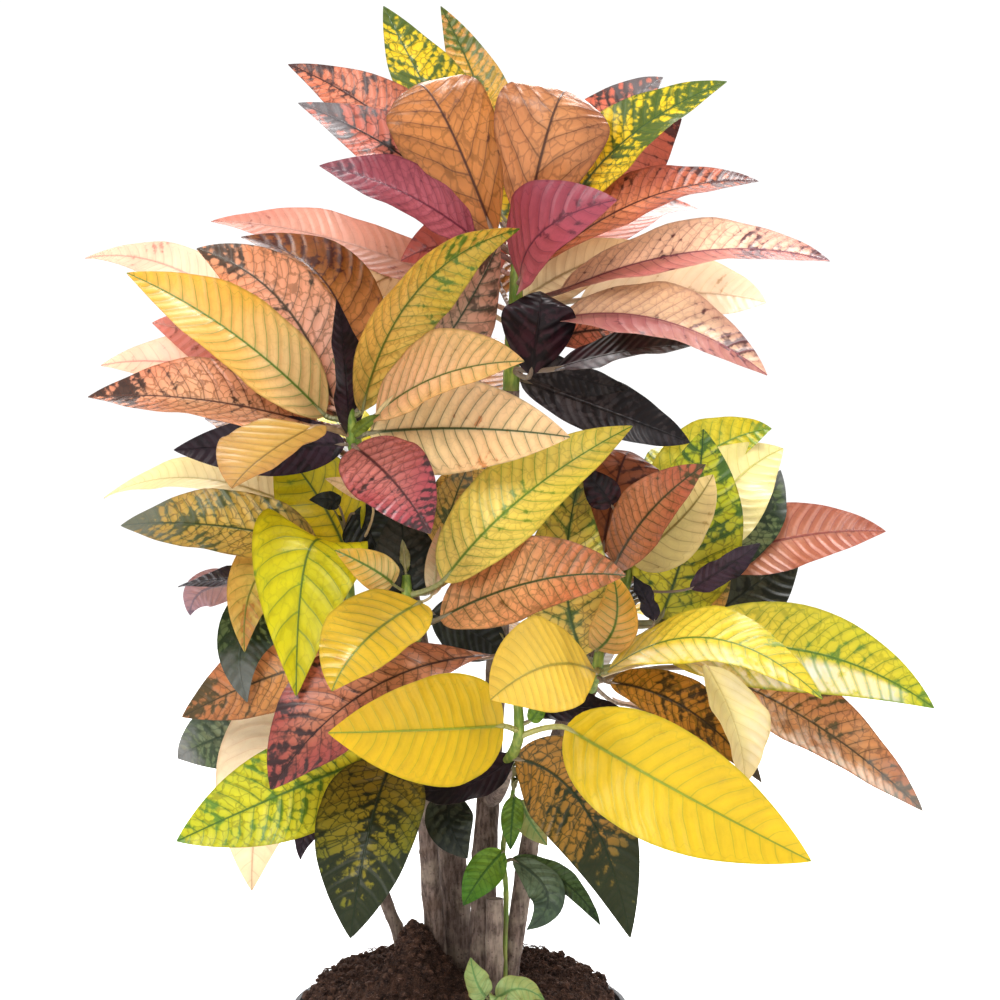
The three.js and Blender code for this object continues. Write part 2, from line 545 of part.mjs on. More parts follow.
// A stem with its forks, or the same grown by a seat's gap all round and past its ends
function stemSolid(runs, extra) {
  const solids = runs.map((run) => {
    const { points, radii } = runOf(run);
    const [before, end] = points.slice(-2);
    end.addScaledVector(end.clone().sub(before).normalize(), extra);
    return limb(points, radii.map((r) => r + extra), 8, 26, 0.045);
  });
  return fuse(solids);
}

// The soil's lumps, as a sum of two ripples
function lumps(x, y) {
  const coarse = Math.sin(x * 0.17 + 1.3) * Math.cos(y * 0.15 - 0.7);
  const fine = Math.sin(x * 0.41 + y * 0.33) * Math.cos(y * 0.47 - x * 0.29);
  return 1.9 * coarse + 1.3 * fine;
}

function soilHeight(x, y) {
  const radius = Math.hypot(x, y);
  const edge = (radius - SOIL_FLAT_RADIUS) / (soilRadius(POT_HEIGHT - 5) - SOIL_FLAT_RADIUS);
  const round = Math.min(Math.max(edge, 0), 1) ** 2;
  const fall = SOIL_DROP * (1 - Math.sqrt(1 - round));
  const heap = HEAP.rise * Math.exp(-(((x - HEAP.x) ** 2 + (y - HEAP.y) ** 2) / HEAP.spread ** 2));
  return SOIL_TOP - fall + heap + lumps(x, y) * (1 - round);
}

function potRadius(z) {
  return THREE.MathUtils.lerp(POT_BASE_RADIUS, POT_RIM_RADIUS - RIM_THICKNESS + POT_WALL / 2, z / POT_HEIGHT);
}

function soilRadius(z) {
  return (potRadius(z) - POT_WALL) * Math.cos(Math.PI / POT_SIDES) - SEAT_GAP;
}

function soilSolid(holes) {
  const shoulder = POT_HEIGHT - RIM_BAND - 3;
  const rings = [0.22, 0.44, 0.64, 0.8, 0.91, 0.975, 1];
  const sectors = 28;
  const rim = soilRadius(POT_HEIGHT - 5);
  const vertices = [0, 0, soilHeight(0, 0)];
  for (const share of rings) {
    for (let j = 0; j < sectors; j += 1) {
      const angle = (2 * Math.PI * j) / sectors;
      const x = Math.cos(angle) * rim * share;
      const y = Math.sin(angle) * rim * share;
      vertices.push(x, y, soilHeight(x, y));
    }
  }
  for (const z of [shoulder, POT_FLOOR + SEAT_GAP]) {
    for (let j = 0; j < sectors; j += 1) {
      const angle = (2 * Math.PI * j) / sectors;
      vertices.push(Math.cos(angle) * soilRadius(z), Math.sin(angle) * soilRadius(z), z);
    }
  }
  vertices.push(0, 0, POT_FLOOR + SEAT_GAP);
  const bands = rings.length + 2;
  const bottom = 1 + bands * sectors;
  const triangles = [];
  for (let j = 0; j < sectors; j += 1) {
    const next = (j + 1) % sectors;
    triangles.push(0, 1 + j, 1 + next);
    for (let i = 0; i < bands - 1; i += 1) {
      const a = 1 + i * sectors + j;
      const b = 1 + i * sectors + next;
      triangles.push(a, a + sectors, b + sectors, a, b + sectors, b);
    }
    triangles.push(bottom, bottom - sectors + next, bottom - sectors + j);
  }
  return solidFrom(vertices, triangles).subtract(wasm.Manifold.union(holes));
}

function manifoldOf(geometry) {
  const index = new Map();
  const position = geometry.attributes.position;
  const order = geometry.index.array;
  const vertices = [];
  const triangles = [];
  const slot = (i) => {
    const point = [position.getX(i), position.getY(i), position.getZ(i)];
    const key = point.map((v) => Math.round(v * 1000)).join();
    if (!index.has(key)) {
      index.set(key, vertices.length / 3);
      vertices.push(...point);
    }
    return index.get(key);
  };
  for (let i = 0; i < order.length; i += 3) {
    const [a, b, c] = [slot(order[i]), slot(order[i + 1]), slot(order[i + 2])];
    if (a !== b && b !== c && a !== c) triangles.push(a, b, c);
  }
  return solidFrom(vertices, triangles);
}

function potSolid() {
  const band = POT_HEIGHT - RIM_BAND;
  const inner = POT_RIM_RADIUS - RIM_THICKNESS;
  const profile = [
    [0, 0],
    [POT_BASE_RADIUS - 2, 0],
    [potRadius(2), 2],
    [potRadius(band - 1), band - 1],
    [POT_RIM_RADIUS - 1, band],
    [POT_RIM_RADIUS, band + 1.5],
    [POT_RIM_RADIUS, POT_HEIGHT - 1.5],
    [POT_RIM_RADIUS - 1.5, POT_HEIGHT],
    [inner + 1, POT_HEIGHT],
    [inner, POT_HEIGHT - 1],
    [potRadius(band - 3) - POT_WALL, band - 3],
    [potRadius(POT_FLOOR) - POT_WALL, POT_FLOOR],
    [0, POT_FLOOR],
  ].map(([r, z]) => new THREE.Vector2(r, z));
  const lathe = new THREE.LatheGeometry(profile, POT_SIDES);
  lathe.rotateX(Math.PI / 2);
  const shell = manifoldOf(lathe);
  const drains = [];
  for (let i = 0; i < DRAIN_COUNT; i += 1) {
    const angle = (2 * Math.PI * i) / DRAIN_COUNT;
    const hole = new THREE.CylinderGeometry(DRAIN_RADIUS, DRAIN_RADIUS, 4 * POT_FLOOR, 8);
    hole.rotateX(Math.PI / 2);
    hole.translate(Math.cos(angle) * DRAIN_CIRCLE, Math.sin(angle) * DRAIN_CIRCLE, POT_FLOOR / 2);
    drains.push(manifoldOf(hole));
  }
  return shell.subtract(wasm.Manifold.union(drains));
}

const plant = new THREE.Group();

function place(name, solid, colour, roughness) {
  const { vertProperties, triVerts } = solid.getMesh();
  const geometry = new THREE.BufferGeometry();
  geometry.setAttribute('position', new THREE.BufferAttribute(new Float32Array(vertProperties), 3));
  geometry.setIndex(new THREE.BufferAttribute(new Uint32Array(triVerts), 1));
  const mesh = new THREE.Mesh(geometry, new THREE.MeshStandardMaterial({ color: colour, roughness }));
  mesh.name = name;
  plant.add(mesh);
}

place('pot', potSolid(), 0x2b2c2d, 0.6);

const holes = Object.values(STEMS).map((runs) => stemSolid([runs[0]], SEAT_GAP));
for (const name of ['shoot_small', 'seedling']) {
  const shoot = runOf(HEADS[name].shoot);
  holes.push(limb(shoot.points, shoot.radii.map((r) => r + SEAT_GAP), 6, 24, 0.03));
}
place('soil', soilSolid(holes), 0x4a3429, 1);

for (const [name, runs] of Object.entries(STEMS)) place(name, stemSolid(runs, 0), 0x8b7565, 0.9);
for (const [name, head] of Object.entries(HEADS)) place(name, headSolid(head), HEAD_COLOURS[name], 0.45);

export default plant;
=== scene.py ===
# %% [markdown]
# # A potted croton
# The plant stands in a plain grower's pot on its mound of peat. Its woody stems carry heads of
# broad, leathery leaves in yellow, orange, pink and mottled dark green.
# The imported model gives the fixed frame: every piece made here lies in the same place as its solid,
# in metres, with +Z up and the origin under the middle of the pot.

# %% Load the frame
import math
import random

import bpy
import numpy as np
from mathutils import Matrix, Vector, noise


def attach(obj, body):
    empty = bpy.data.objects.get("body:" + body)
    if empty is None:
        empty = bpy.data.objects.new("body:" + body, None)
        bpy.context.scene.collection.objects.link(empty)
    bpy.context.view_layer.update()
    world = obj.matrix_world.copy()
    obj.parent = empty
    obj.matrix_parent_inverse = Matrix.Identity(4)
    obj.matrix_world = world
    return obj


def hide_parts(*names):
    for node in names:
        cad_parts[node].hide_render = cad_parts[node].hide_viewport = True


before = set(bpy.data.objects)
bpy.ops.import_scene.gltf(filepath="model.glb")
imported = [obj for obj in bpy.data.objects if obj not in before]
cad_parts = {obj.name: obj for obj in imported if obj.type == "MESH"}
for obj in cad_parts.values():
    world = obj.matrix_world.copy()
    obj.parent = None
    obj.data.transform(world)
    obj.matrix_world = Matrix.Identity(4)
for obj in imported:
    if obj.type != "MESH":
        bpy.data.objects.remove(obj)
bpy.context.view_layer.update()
bpy.ops.object.select_all(action="DESELECT")
MM = 0.001

# %% [markdown]
# ## The viewer's eye
# The plant is laid out as it is seen from the front: x to the right of the pot's axis, h up from the
# soil and d towards the viewer, in millimetres at the pot's axis. One function turns such a point
# into a real place, so a leaf can be moved nearer or further without leaving its spot in the picture.
# The camera stands where that eye is, so both agree.

# %% Eye and camera
EYE_DISTANCE = 2400.0
EYE_RISE = math.radians(8)
AIM_X = 28.7
AIM_H = 315.0
SOIL_LEVEL = 247.0
PICTURE_WIDTH = 700.0
SENSOR = 36.0
REACH = EYE_DISTANCE * math.cos(EYE_RISE)
DROP = EYE_DISTANCE * math.sin(EYE_RISE)
AIM = np.array([AIM_X, 0.0, SOIL_LEVEL + AIM_H * math.cos(EYE_RISE)])
EYE = AIM + np.array([0.0, -REACH, DROP])


def seen(place):
    x, h, d = place[:3]
    above = h - AIM_H
    s = (REACH - d) / (REACH + above * math.sin(EYE_RISE))
    return np.array([AIM_X + s * (x - AIM_X), -d, EYE[2] + s * (above * math.cos(EYE_RISE) - DROP)])


def add_object(name, data):
    piece = bpy.data.objects.new(name, data)
    bpy.context.scene.collection.objects.link(piece)
    return piece


def look_along(piece, way):
    """Turn a camera or a lamp, which both look down their own Z, to this direction."""
    piece.rotation_euler = Vector(way).to_track_quat("-Z", "Y").to_euler()


camera_data = bpy.data.cameras.new("camera")
camera_data.sensor_width = SENSOR
camera_data.lens = SENSOR * EYE_DISTANCE / PICTURE_WIDTH
camera = add_object("camera", camera_data)
camera.location = Vector(EYE * MM)
look_along(camera, (AIM - EYE).tolist())
bpy.context.scene.camera = camera
print("eye", [round(c, 3) for c in camera.location], "lens", round(camera_data.lens, 1))

# %% [markdown]
# ## Stems and heads, as lists
# A stem is a run of places with its radius at each, and a fork is a further run. A head is a green
# shoot and its leaves. Each leaf's row holds its base, the middle of its rib and its tip, three
# numbers each, then its width, its roll about the rib from facing the viewer, the fold of each half
# and the name of its look, with the place of its widest part last where that isn't the usual one.
# A rule for far leaves holds their number, the middle and the half width of their fan, the lowest and
# highest rise, in degrees, and their reach. It could all be modelled leaf by leaf, but rows are easy
# to compare and to mend, and the same rows make the solids, so fine and plain leaves lie alike.

# %% Runs of the stems
STEMS = {
    "stem_left": [
        [(-13, -46, 27, 7.4), (-17, 16, 30, 7.2), (-20, 49, 36, 6.7), (-22, 82, 42, 6.4), (-24, 119, 52, 6),
         (-28, 175, 78, 5.6), (-31, 217, 98, 5.2)],
        [(-24, 108, 49, 5), (-28, 120, 60, 5), (-33, 127, 72, 4.6)],
    ],
    "stem_middle": [
        [(3, -56, 12, 11), (-1, 4, 12, 11), (-3, 42, 12, 10.5), (-6, 77, 12, 9.5), (-13, 133, 15, 8.5),
         (-34, 217, 20, 7.5), (-52, 287, 35, 6.8), (-68, 336, 55, 6.2)],
        [(-18, 150, 15, 6.4), (-22, 185, -12, 6), (-30, 232, -50, 5.6), (-38, 275, -80, 5)],
    ],
    "stem_main": [
        [(12, -68, 40, 7.8), (15, -8, 38, 8), (17, 35, 34, 8.8), (18, 65, 30, 9), (21, 116, 22, 7.6),
         (27, 210, 8, 7.2), (34, 350, 0, 6.6), (36.2, 392, 1, 6.2)],
        [(21, 104, 24, 5), (26, 108, 48, 5), (31, 118, 74, 4.8), (33, 128, 92, 4.4)],
    ],
    "stem_right": [
        [(31, -74, 48, 6), (36, -15, 45, 6.2), (41, 21, 43, 6.5), (49, 72, 40, 6.6), (62, 126, 42, 6.2),
         (81, 164, 58, 5.8), (92, 183, 84, 5)],
        [(70, 146, 48, 5.4), (84, 178, 40, 5.4), (98.6, 210.8, 41.8, 5.1)],
        [(57, 108, 41, 5.4), (66, 140, 8, 5.4), (78, 176, -34, 5.2), (90, 212, -66, 4.8)],
    ],
    "stem_slim": [
        [(-35, -54, 5, 5), (-41, 7, 5, 4.8), (-50, 31, 5, 4.6), (-58, 56, 8, 4.4), (-66, 105, 15, 4.3),
         (-71, 174, 30, 4.2)],
    ],
    "stem_cut": [
        [(24, -76, 64, 6.4), (24.5, -18, 62, 6.3), (25, 36, 60, 5.9)],
    ],
}
print("stems", list(STEMS))

# %% Shoots and far leaves
SHOOTS = {
    "head_top": [(36.2, 392, 1, 5.8), (38, 434, 2, 5.4), (40, 464, 5, 4.6), (41, 506, -5, 3)],
    "head_left": [(-68, 336, 55, 5.6), (-75, 363, 65, 4.8), (-78, 388, 62, 3)],
    "head_middle": [(-31, 217, 98, 4.8), (-36, 245, 110, 4), (-37, 262, 104, 2.8)],
    "head_lower_left": [(-71, 174, 30, 3.9), (-75, 230, 46, 3.6), (-78, 285, 58, 2.6)],
    "head_low": [(-33, 127, 72, 4.2), (-38, 136, 82, 3.8), (-41, 146, 88, 2.8)],
    "head_right": [(98.6, 210.8, 41.8, 4.8), (112, 242, 50, 4.6), (118, 265, 60, 3.8), (122, 302, 52, 2.6)],
    "head_lower_right": [(92, 183, 84, 4.6), (97, 200, 98, 3.8), (100, 224, 98, 2.6)],
    "head_front": [(33, 128, 92, 4), (42, 152, 116, 3.6), (38, 200, 100, 2.6)],
    "shoot_small": [(34, -55, 57, 1.9), (32, -8, 53, 1.9), (33, 40, 51, 1.8), (31, 72, 49, 1.7),
        (38, 112, 47, 1.4)],
    "head_back_left": [(-38, 275, -80, 4.6), (-42, 300, -96, 4), (-45, 340, -108, 2.8)],
    "head_back_right": [(90, 212, -66, 4.4), (95, 235, -82, 3.8), (98, 268, -92, 2.6)],
    "seedling": [(20, -80, 84, 1.6), (20, -54, 84, 1.5), (21, -34, 84, 1.4)],
}
FAR_RULES = {
    "head_top": (7, 0, 52, -2, 24, 155),
    "head_left": (5, -20, 24, -12, 17, 148),
    "head_lower_left": (3, -12, 26, -28, -4, 125),
    "head_right": (3, 14, 25, 12, 18, 145),
    "head_lower_right": (1, 44, 0, -34, -34, 110),
    "head_back_left": (8, 0, 64, -20, 24, 155),
    "head_back_right": (7, 0, 60, -26, 20, 150),
}
print("shoots", len(SHOOTS), "of which", len(FAR_RULES), "have far leaves")

# %% Leaves
LEAF_ROWS = {
    "head_top": """
15 505 -10  -43 574 -25  -120 620 -50  58 20 15 salmon_dark
13 502 6  -36 553 8  -113 593 -5  56 25 15 salmon_black
11 498 22  -41 531 50  -98 549 48  52 45 15 magenta
25 498 12  -14 590 28  -34 600 -14  78 20 -10 orange_brown 0.45
34 508 -22  -15 589 -60  -53 661 -85  68 35 15 yellow_net
39 508 -30  19 588 -98  -13 661 -120  46 10 12 orange_green
46 504 8  67 588 26  80 595 -12  82 -5 -10 tan_orange 0.45
43 469 12  60 504 50  111 525 62  76 -45 15 magenta_light
71 510 -5  118 568 8  188 608 5  58 -45 15 yellow_net
64 514 -38  99 573 -60  143 611 -84  52 -20 12 salmon_black
74 505 -20  116 553 -30  156 582 -30  58 20 12 salmon_red
62 484 24  134 527 36  210 538 30  52 -55 15 salmon_maroon
71 461 26  169 489 55  260 482 72  60 -58 15 peach_pink
43 455 4  81 477 0  127 495 -4  44 -30 12 cream_tan
85 455 15  162 460 30  215 453 40  56 -35 12 cream
71 442 35  144 440 80  216 402 100  64 -52 15 peach
50 402 30  56 443 54  57 461 38  52 0 -10 maroon_dark 0.45
68 407 44  116 419 74  163 423 85  50 -65 12 maroon_dark
67 428 5  99 434 10  130 430 0  34 -30 12 salmon_black
39 418 8  81 401 18  120 393 15  24 20 10 black_grey
43 399 -10  110 375 0  162 355 -5  44 -25 12 black_grey
4 462 -20  -90 498 -40  -174 510 -60  50 50 12 pink
1 461 -34  -34 475 -44  -75 455 -48  44 20 10 cream_tan
29 476 -2  -3 493 -2  -41 482 -6  50 15 12 pink_red
""",
    "head_left": """
-94 374 60  -159 432 75  -233 474 70  66 35 15 yellow
-86 374 45  -122 451 40  -184 491 28  60 5 12 peach_salmon
-75 381 30  -90 462 5  -153 499 -15  66 35 15 orange_brown
-77 360 66  -80 408 72  -86 456 70  34 52 10 purple_dark
-68 377 66  -29 462 80  43 505 62  60 45 15 yellow_tip
-58 374 72  -13 402 112  46 412 150  68 -48 18 peach_orange
-62 362 75  6 365 108  78 359 138  68 -10 15 tan_peach
-73 352 85  -44 326 150  -20 291 190  56 -12 12 red_pink
-102 366 90  -137 345 146  -159 323 180  66 52 18 ochre
-99 367 70  -181 385 70  -260 387 50  70 50 20 salmon_tip
-101 363 45  -143 367 20  -178 372 12  50 60 10 peach
-104 371 44  -178 407 30  -251 409 20  50 30 12 pink_pale
-111 406 26  -188 472 2  -262 484 -20  40 35 12 pink_pale
-111 388 40  -164 423 34  -215 439 30  46 10 10 pink
-80 354 66  -139 353 70  -200 350 66  42 -5 12 purple_dark
-31 406 48  -3 437 36  29 497 22  56 30 12 beige_pink
-27 420 34  -5 451 24  16 477 20  30 60 10 purple_dark
-55 356 68  8 343 84  60 337 90  40 -60 10 purple_dark
-75 360 68  -66 368 76  -55 375 82  9 0 10 olive_young
""",
    "head_middle": """
-11 258 116  46 318 112  122 367 86  62 -30 15 yellow_soft
-13 232 112  53 258 144  117 262 168  63 -30 15 orange
-34 246 105  -38 276 98  -41 311 74  44 10 12 green_dark
-46 256 118  -61 267 126  -87 280 122  26 0 10 yellow
-27 243 122  -66 216 190  -89 181 225  61 25 15 ochre_yellow
-19 252 88  -8 301 62  8 342 45  40 30 12 olive_net
-19 248 112  -15 273 106  -13 297 100  16 0 8 beige
-20 236 92  8 224 66  34 206 46  46 -10 12 black_green
""",
    "head_lower_left": """
-83 272 75  -106 277 112  -114 177 150  82 0 8 yellow_lime
-90 273 45  -138 265 70  -150 208 86  44 0 10 yellow_pale
-90 252 35  -146 227 60  -148 173 75  44 0 10 green_mottled
-80 206 60  -138 189 60  -194 163 46  58 20 12 orange_net
-104 252 30  -153 260 30  -197 254 20  28 60 8 purple_dark
-146 255 12  -178 252 6  -188 234 4  26 0 8 mauve
-99 283 70  -171 297 66  -237 297 44  56 35 15 olive_net
-97 301 30  -181 330 -5  -249 316 -30  44 55 12 cream_pale
-80 281 60  -99 318 46  -129 357 22  70 -20 12 yellow_lime
-61 315 84  -76 324 86  -94 330 86  12 0 8 cream_tan
-84 311 78  -92 315 84  -105 315 86  13 0 8 black_green
-97 182 48  -134 126 45  -145 41 60  74 10 10 peach_pale
-111 161 36  -164 150 22  -197 134 18  50 0 10 green_silver
-74 306 66  -62 290 68  -48 258 72  36 0 10 black_green
""",
    "head_low": """
-59 136 95  -129 107 120  -198 76 130  66 0 12 lime_net
-47 133 95  -64 78 150  -76 8 165  74 15 15 green_gold
-66 129 90  -99 99 88  -111 63 92  30 30 10 purple_dark
""",
    "head_right": """
100 277 55  113 337 62  122 346 32  66 -5 -10 rust 0.45
109 269 78  135 308 116  173 340 136  44 -25 15 rust_green
120 273 72  155 301 92  178 333 98  50 -15 12 yellow_tanned
141 232 52  162 298 58  171 365 52  76 10 12 green_cells
137 315 15  177 350 -10  219 365 -15  50 -30 12 lime_soft
165 273 35  188 322 25  227 351 -30  62 0 12 cream_soft
169 266 20  207 301 15  225 336 -5  40 20 12 green_mottled
172 269 15  235 289 10  299 293 20  50 -20 12 salmon
150 214 15  198 249 -8  239 280 -30  62 0 10 green_dark
162 253 74  188 269 80  211 285 80  22 30 10 purple_dark
134 227 50  165 245 48  190 265 44  44 0 10 tan_net
107 311 88  99 322 92  87 337 92  24 0 8 maroon_dark
""",
    "head_lower_right": """
104 195 110  177 218 140  255 175 165  62 -52 5 yellow_gloss
144 206 85  244 209 80  333 169 75  62 -8 12 yellow_shine
169 197 72  249 158 78  325 97 90  58 -35 15 tan_brown
106 187 105  162 167 120  212 117 125  40 -30 12 brown_net
173 199 105  193 157 130  200 116 140  64 -58 15 cream_gloss
96 194 112  62 199 208  22 175 248  66 10 12 yellow_tan 0.55
87 206 98  75 262 104  85 332 60  60 0 12 mottled_yellow
96 210 104  110 231 132  107 265 130  32 0 10 yellow
137 230 88  130 247 84  122 262 80  16 40 8 purple_black
""",
    "head_front": """
31 157 130  -24 154 190  -92 152 235  76 -5 12 yellow_gold
75 156 132  155 110 172  247 62 175  80 6 12 yellow_gold
39 134 105  88 99 105  120 8 120  66 5 12 green_orange
29 206 95  -61 183 145  -132 112 165  82 42 15 red_long 0.62
57 164 110  85 170 115  116 167 115  24 -40 8 purple_black
39 136 100  4 115 100  -36 112 95  36 40 10 purple_black
-5 108 60  -6 87 75  6 64 75  34 0 10 green_dark
50 160 120  55 167 122  60 174 122  12 0 8 green_young
""",
    "shoot_small": """
31 69 55  16 52 62  3 31 65  26 0 10 green_bright
37 64 50  73 48 60  99 17 65  18 -20 10 green_gloss
38 63 52  62 38 72  47 14 75  26 0 10 green_grey
43 105 45  50 90 48  62 73 50  22 0 10 green_pale
39 108 48  37 90 50  36 70 50  16 0 8 green_bright
""",
    "seedling": """
19 -33 88  12 -22 92  8 -5 90  20 20 12 green_pale
24 -36 90  27 -33 97  20 -41 102  13 30 8 green_pale
27 -34 87  43 -27 94  60 -35 102  22 20 10 green_pale
""",
}
print("leaves in the picture", sum(len(rows.split("\n")) - 2 for rows in LEAF_ROWS.values()))

# %% [markdown]
# ## Lines through points
# Stems, shoots and leaf stalks all follow smooth lines. A centripetal Catmull-Rom curve passes
# through every given point without loops, however uneven their spacing, so it suits a grown thing.

# %% Curves
def point_on(points, t):
    last = len(points) - 1
    k = min(int(t * last), last - 1)
    w = t * last - k
    p1, p2 = points[k], points[k + 1]
    p0 = points[k - 1] if k > 0 else 2 * points[0] - points[1]
    p3 = points[k + 2] if k + 2 <= last else 2 * points[last] - points[last - 1]
    g0, g1, g2 = (max(np.sum((b - a) ** 2), 1e-8) ** 0.25 for a, b in ((p0, p1), (p1, p2), (p2, p3)))
    start = g1 * ((p1 - p0) / g0 - (p2 - p0) / (g0 + g1) + (p2 - p1) / g1)
    end = g1 * ((p2 - p1) / g1 - (p3 - p1) / (g1 + g2) + (p3 - p2) / g2)
    square = (3 * (p2 - p1) - 2 * start - end) * w * w
    return p1 + start * w + square + (2 * (p1 - p2) + start + end) * w ** 3


def unit(v):
    return v / np.maximum(np.linalg.norm(v, axis=-1, keepdims=True), 1e-12)


def length_of(places):
    return np.linalg.norm(np.diff(places, axis=0), axis=1).sum()


def bow(start, pull, end, shares):
    """Places on a curve between two ends that a third point pulls out, and its direction there."""
    s = shares[:, None]
    places = start * (1 - s) ** 2 + pull * 2 * s * (1 - s) + end * s ** 2
    return places, (pull - start) * (1 - s) + (end - pull) * s


def line_of(points, shares):
    """Places along the curve, with a side and a second side that turn as little as they can."""
    places = np.array([point_on(points, s) for s in shares])
    along = unit(np.gradient(places, axis=0))
    side = unit(np.cross(along[0], [0.0, 1.0, 0.0]))
    sides = []
    for a in along:
        side = unit(side - a * (side @ a))
        sides.append(side)
    return places, along, np.array(sides), np.cross(along, np.array(sides))


def lerp_list(values, share):
    """A list's value at a share of its length."""
    return np.interp(np.asarray(share) * (len(values) - 1), range(len(values)), values)


main_stem = [seen(place) for place in STEMS["stem_main"][0]]
print("halfway up the main stem", point_on(main_stem, 0.5).round(1))

# %% [markdown]
# ## Working helpers
# A few small functions keep the modelling steps short: one names and selects a new object, one
# starts editing its mesh, one applies its modifiers, one copies a piece with a mesh of its own, and
# one joins pieces.

# %% Modelling helpers
def alone(piece):
    bpy.ops.object.select_all(action="DESELECT")
    piece.select_set(True)
    bpy.context.view_layer.objects.active = piece
    return piece


def named(name):
    piece = bpy.context.view_layer.objects.active
    piece.name = name
    piece.data.name = name
    return alone(piece)


def edit_mesh(kind, action):
    """Start editing the active piece by its vertices or edges, with all or none selected."""
    bpy.ops.object.mode_set(mode="EDIT")
    bpy.ops.mesh.select_mode(type=kind)
    bpy.ops.mesh.select_all(action=action)


def leave_mesh():
    bpy.ops.object.mode_set(mode="OBJECT")


def apply_all(piece):
    alone(piece)
    for modifier in list(piece.modifiers):
        bpy.ops.object.modifier_apply(modifier=modifier.name)
    return piece


def copy_of(piece, name):
    return add_object(name, piece.data.copy())


def joined(pieces, name):
    bpy.ops.object.select_all(action="DESELECT")
    for piece in pieces:
        piece.select_set(True)
    bpy.context.view_layer.objects.active = pieces[0]
    bpy.ops.object.join()
    return named(name)


def corners(piece):
    places = np.zeros(len(piece.data.vertices) * 3)
    piece.data.vertices.foreach_get("co", places)
    return places.reshape(-1, 3)


def set_corners(piece, places):
    piece.data.vertices.foreach_set("co", np.asarray(places, dtype=np.float32).ravel())
    piece.data.update()


def note(piece, name, kind, values):
    """Write a value for each vertex, which the finish reads."""
    layer = piece.data.attributes.get(name) or piece.data.attributes.new(name, kind, "POINT")
    field = "color" if kind == "FLOAT_COLOR" else "vector"
    layer.data.foreach_set(field, np.asarray(values, dtype=np.float32).ravel())


def triangles(piece):
    return sum(len(face.vertices) - 2 for face in piece.data.polygons)


# %% [markdown]
# ## Shader arithmetic
# A finish is a graph of nodes. Written as sums and products of sockets, it reads like a formula.
# The class below wraps one socket and adds a Math node for each operator, and its maker has one
# method for any other node.

# %% Sockets with operators
def operator(operation, flipped=False):
    """The method that adds a Math node for one operator."""
    def add_node(wire, *others):
        values = (wire,) + others
        return wire.sum_of(operation, *(values[::-1] if flipped else values))
    return add_node


class Wire:
    """One output of a finish's nodes."""

    def __init__(self, finish, socket):
        self.finish = finish
        self.socket = socket

    def sum_of(self, operation, *values):
        return self.finish.node("ShaderNodeMath", {"operation": operation}, dict(enumerate(values)))

    __add__ = operator("ADD")
    __radd__ = operator("ADD", True)
    __sub__ = operator("SUBTRACT")
    __rsub__ = operator("SUBTRACT", True)
    __mul__ = operator("MULTIPLY")
    __rmul__ = operator("MULTIPLY", True)
    __truediv__ = operator("DIVIDE")
    __abs__ = operator("ABSOLUTE")
    over = operator("GREATER_THAN")
    highest = operator("MAXIMUM")
    fraction = operator("FRACT")
    wave = operator("SINE")

    def step(self, low, high):
        """0 below low and 1 above high, with a soft passage."""
        settings = {"interpolation_type": "SMOOTHSTEP"}
        inputs = {"Value": self, "From Min": low, "From Max": high}
        return self.finish.node("ShaderNodeMapRange", settings, inputs)

    def split(self):
        return [self.finish.node("ShaderNodeSeparateXYZ", {}, {0: self}, k) for k in range(3)]


class Finish:
    """A material with its nodes."""

    def __init__(self, name):
        self.material = bpy.data.materials.new(name)
        self.material.use_nodes = True
        self.tree = self.material.node_tree
        self.tree.nodes.clear()

    def node(self, kind, settings, inputs, output=0):
        made = self.tree.nodes.new(kind)
        for key, value in settings.items():
            setattr(made, key, value)
        for key, value in inputs.items():
            if isinstance(value, Wire):
                self.tree.links.new(value.socket, made.inputs[key])
            else:
                made.inputs[key].default_value = value
        return Wire(self, made.outputs[output])

    def reading(self, name, output="Vector"):
        return self.node("ShaderNodeAttribute", {"attribute_name": name}, {}, output)

    def mix(self, share, first, second):
        return self.node("ShaderNodeMix", {"data_type": "RGBA"}, {0: share, 6: first, 7: second}, 2)

    def place(self):
        return self.node("ShaderNodeTexCoord", {}, {}, "Object")

    def drawn_out(self, place, scale):
        return self.node("ShaderNodeMapping", {}, {"Vector": place, "Scale": scale})

    def point(self, x, y, z):
        return self.node("ShaderNodeCombineXYZ", {}, {0: x, 1: y, 2: z})

    def cloud(self, place, scale, detail=3.0, roughness=0.55):
        inputs = {"Vector": place, "Scale": scale, "Detail": detail, "Roughness": roughness}
        return self.node("ShaderNodeTexNoise", {}, inputs)

    def cells(self, place, scale, feature="DISTANCE_TO_EDGE"):
        return self.node("ShaderNodeTexVoronoi", {"feature": feature}, {"Vector": place, "Scale": scale})

    def relief(self, height, distance, strength=1.0):
        inputs = {"Height": height, "Distance": distance, "Strength": strength}
        return self.node("ShaderNodeBump", {}, inputs)

    def skin(self, **inputs):
        sockets = {key.replace("_", " "): value for key, value in inputs.items()}
        return self.node("ShaderNodeBsdfPrincipled", {}, sockets)

    def done(self, surface):
        output = self.tree.nodes.new("ShaderNodeOutputMaterial")
        self.tree.links.new(surface.socket, output.inputs["Surface"])
        return self.material


def colour(code):
    """A colour written as six hexadecimal digits, in the linear values that nodes use."""
    parts = [int(code[k:k + 2], 16) / 255 for k in (0, 2, 4)]
    return tuple(c / 12.92 if c <= 0.04045 else ((c + 0.055) / 1.055) ** 2.4 for c in parts) + (1.0,)


print("a middle grey in linear values", round(colour("808080")[0], 3))

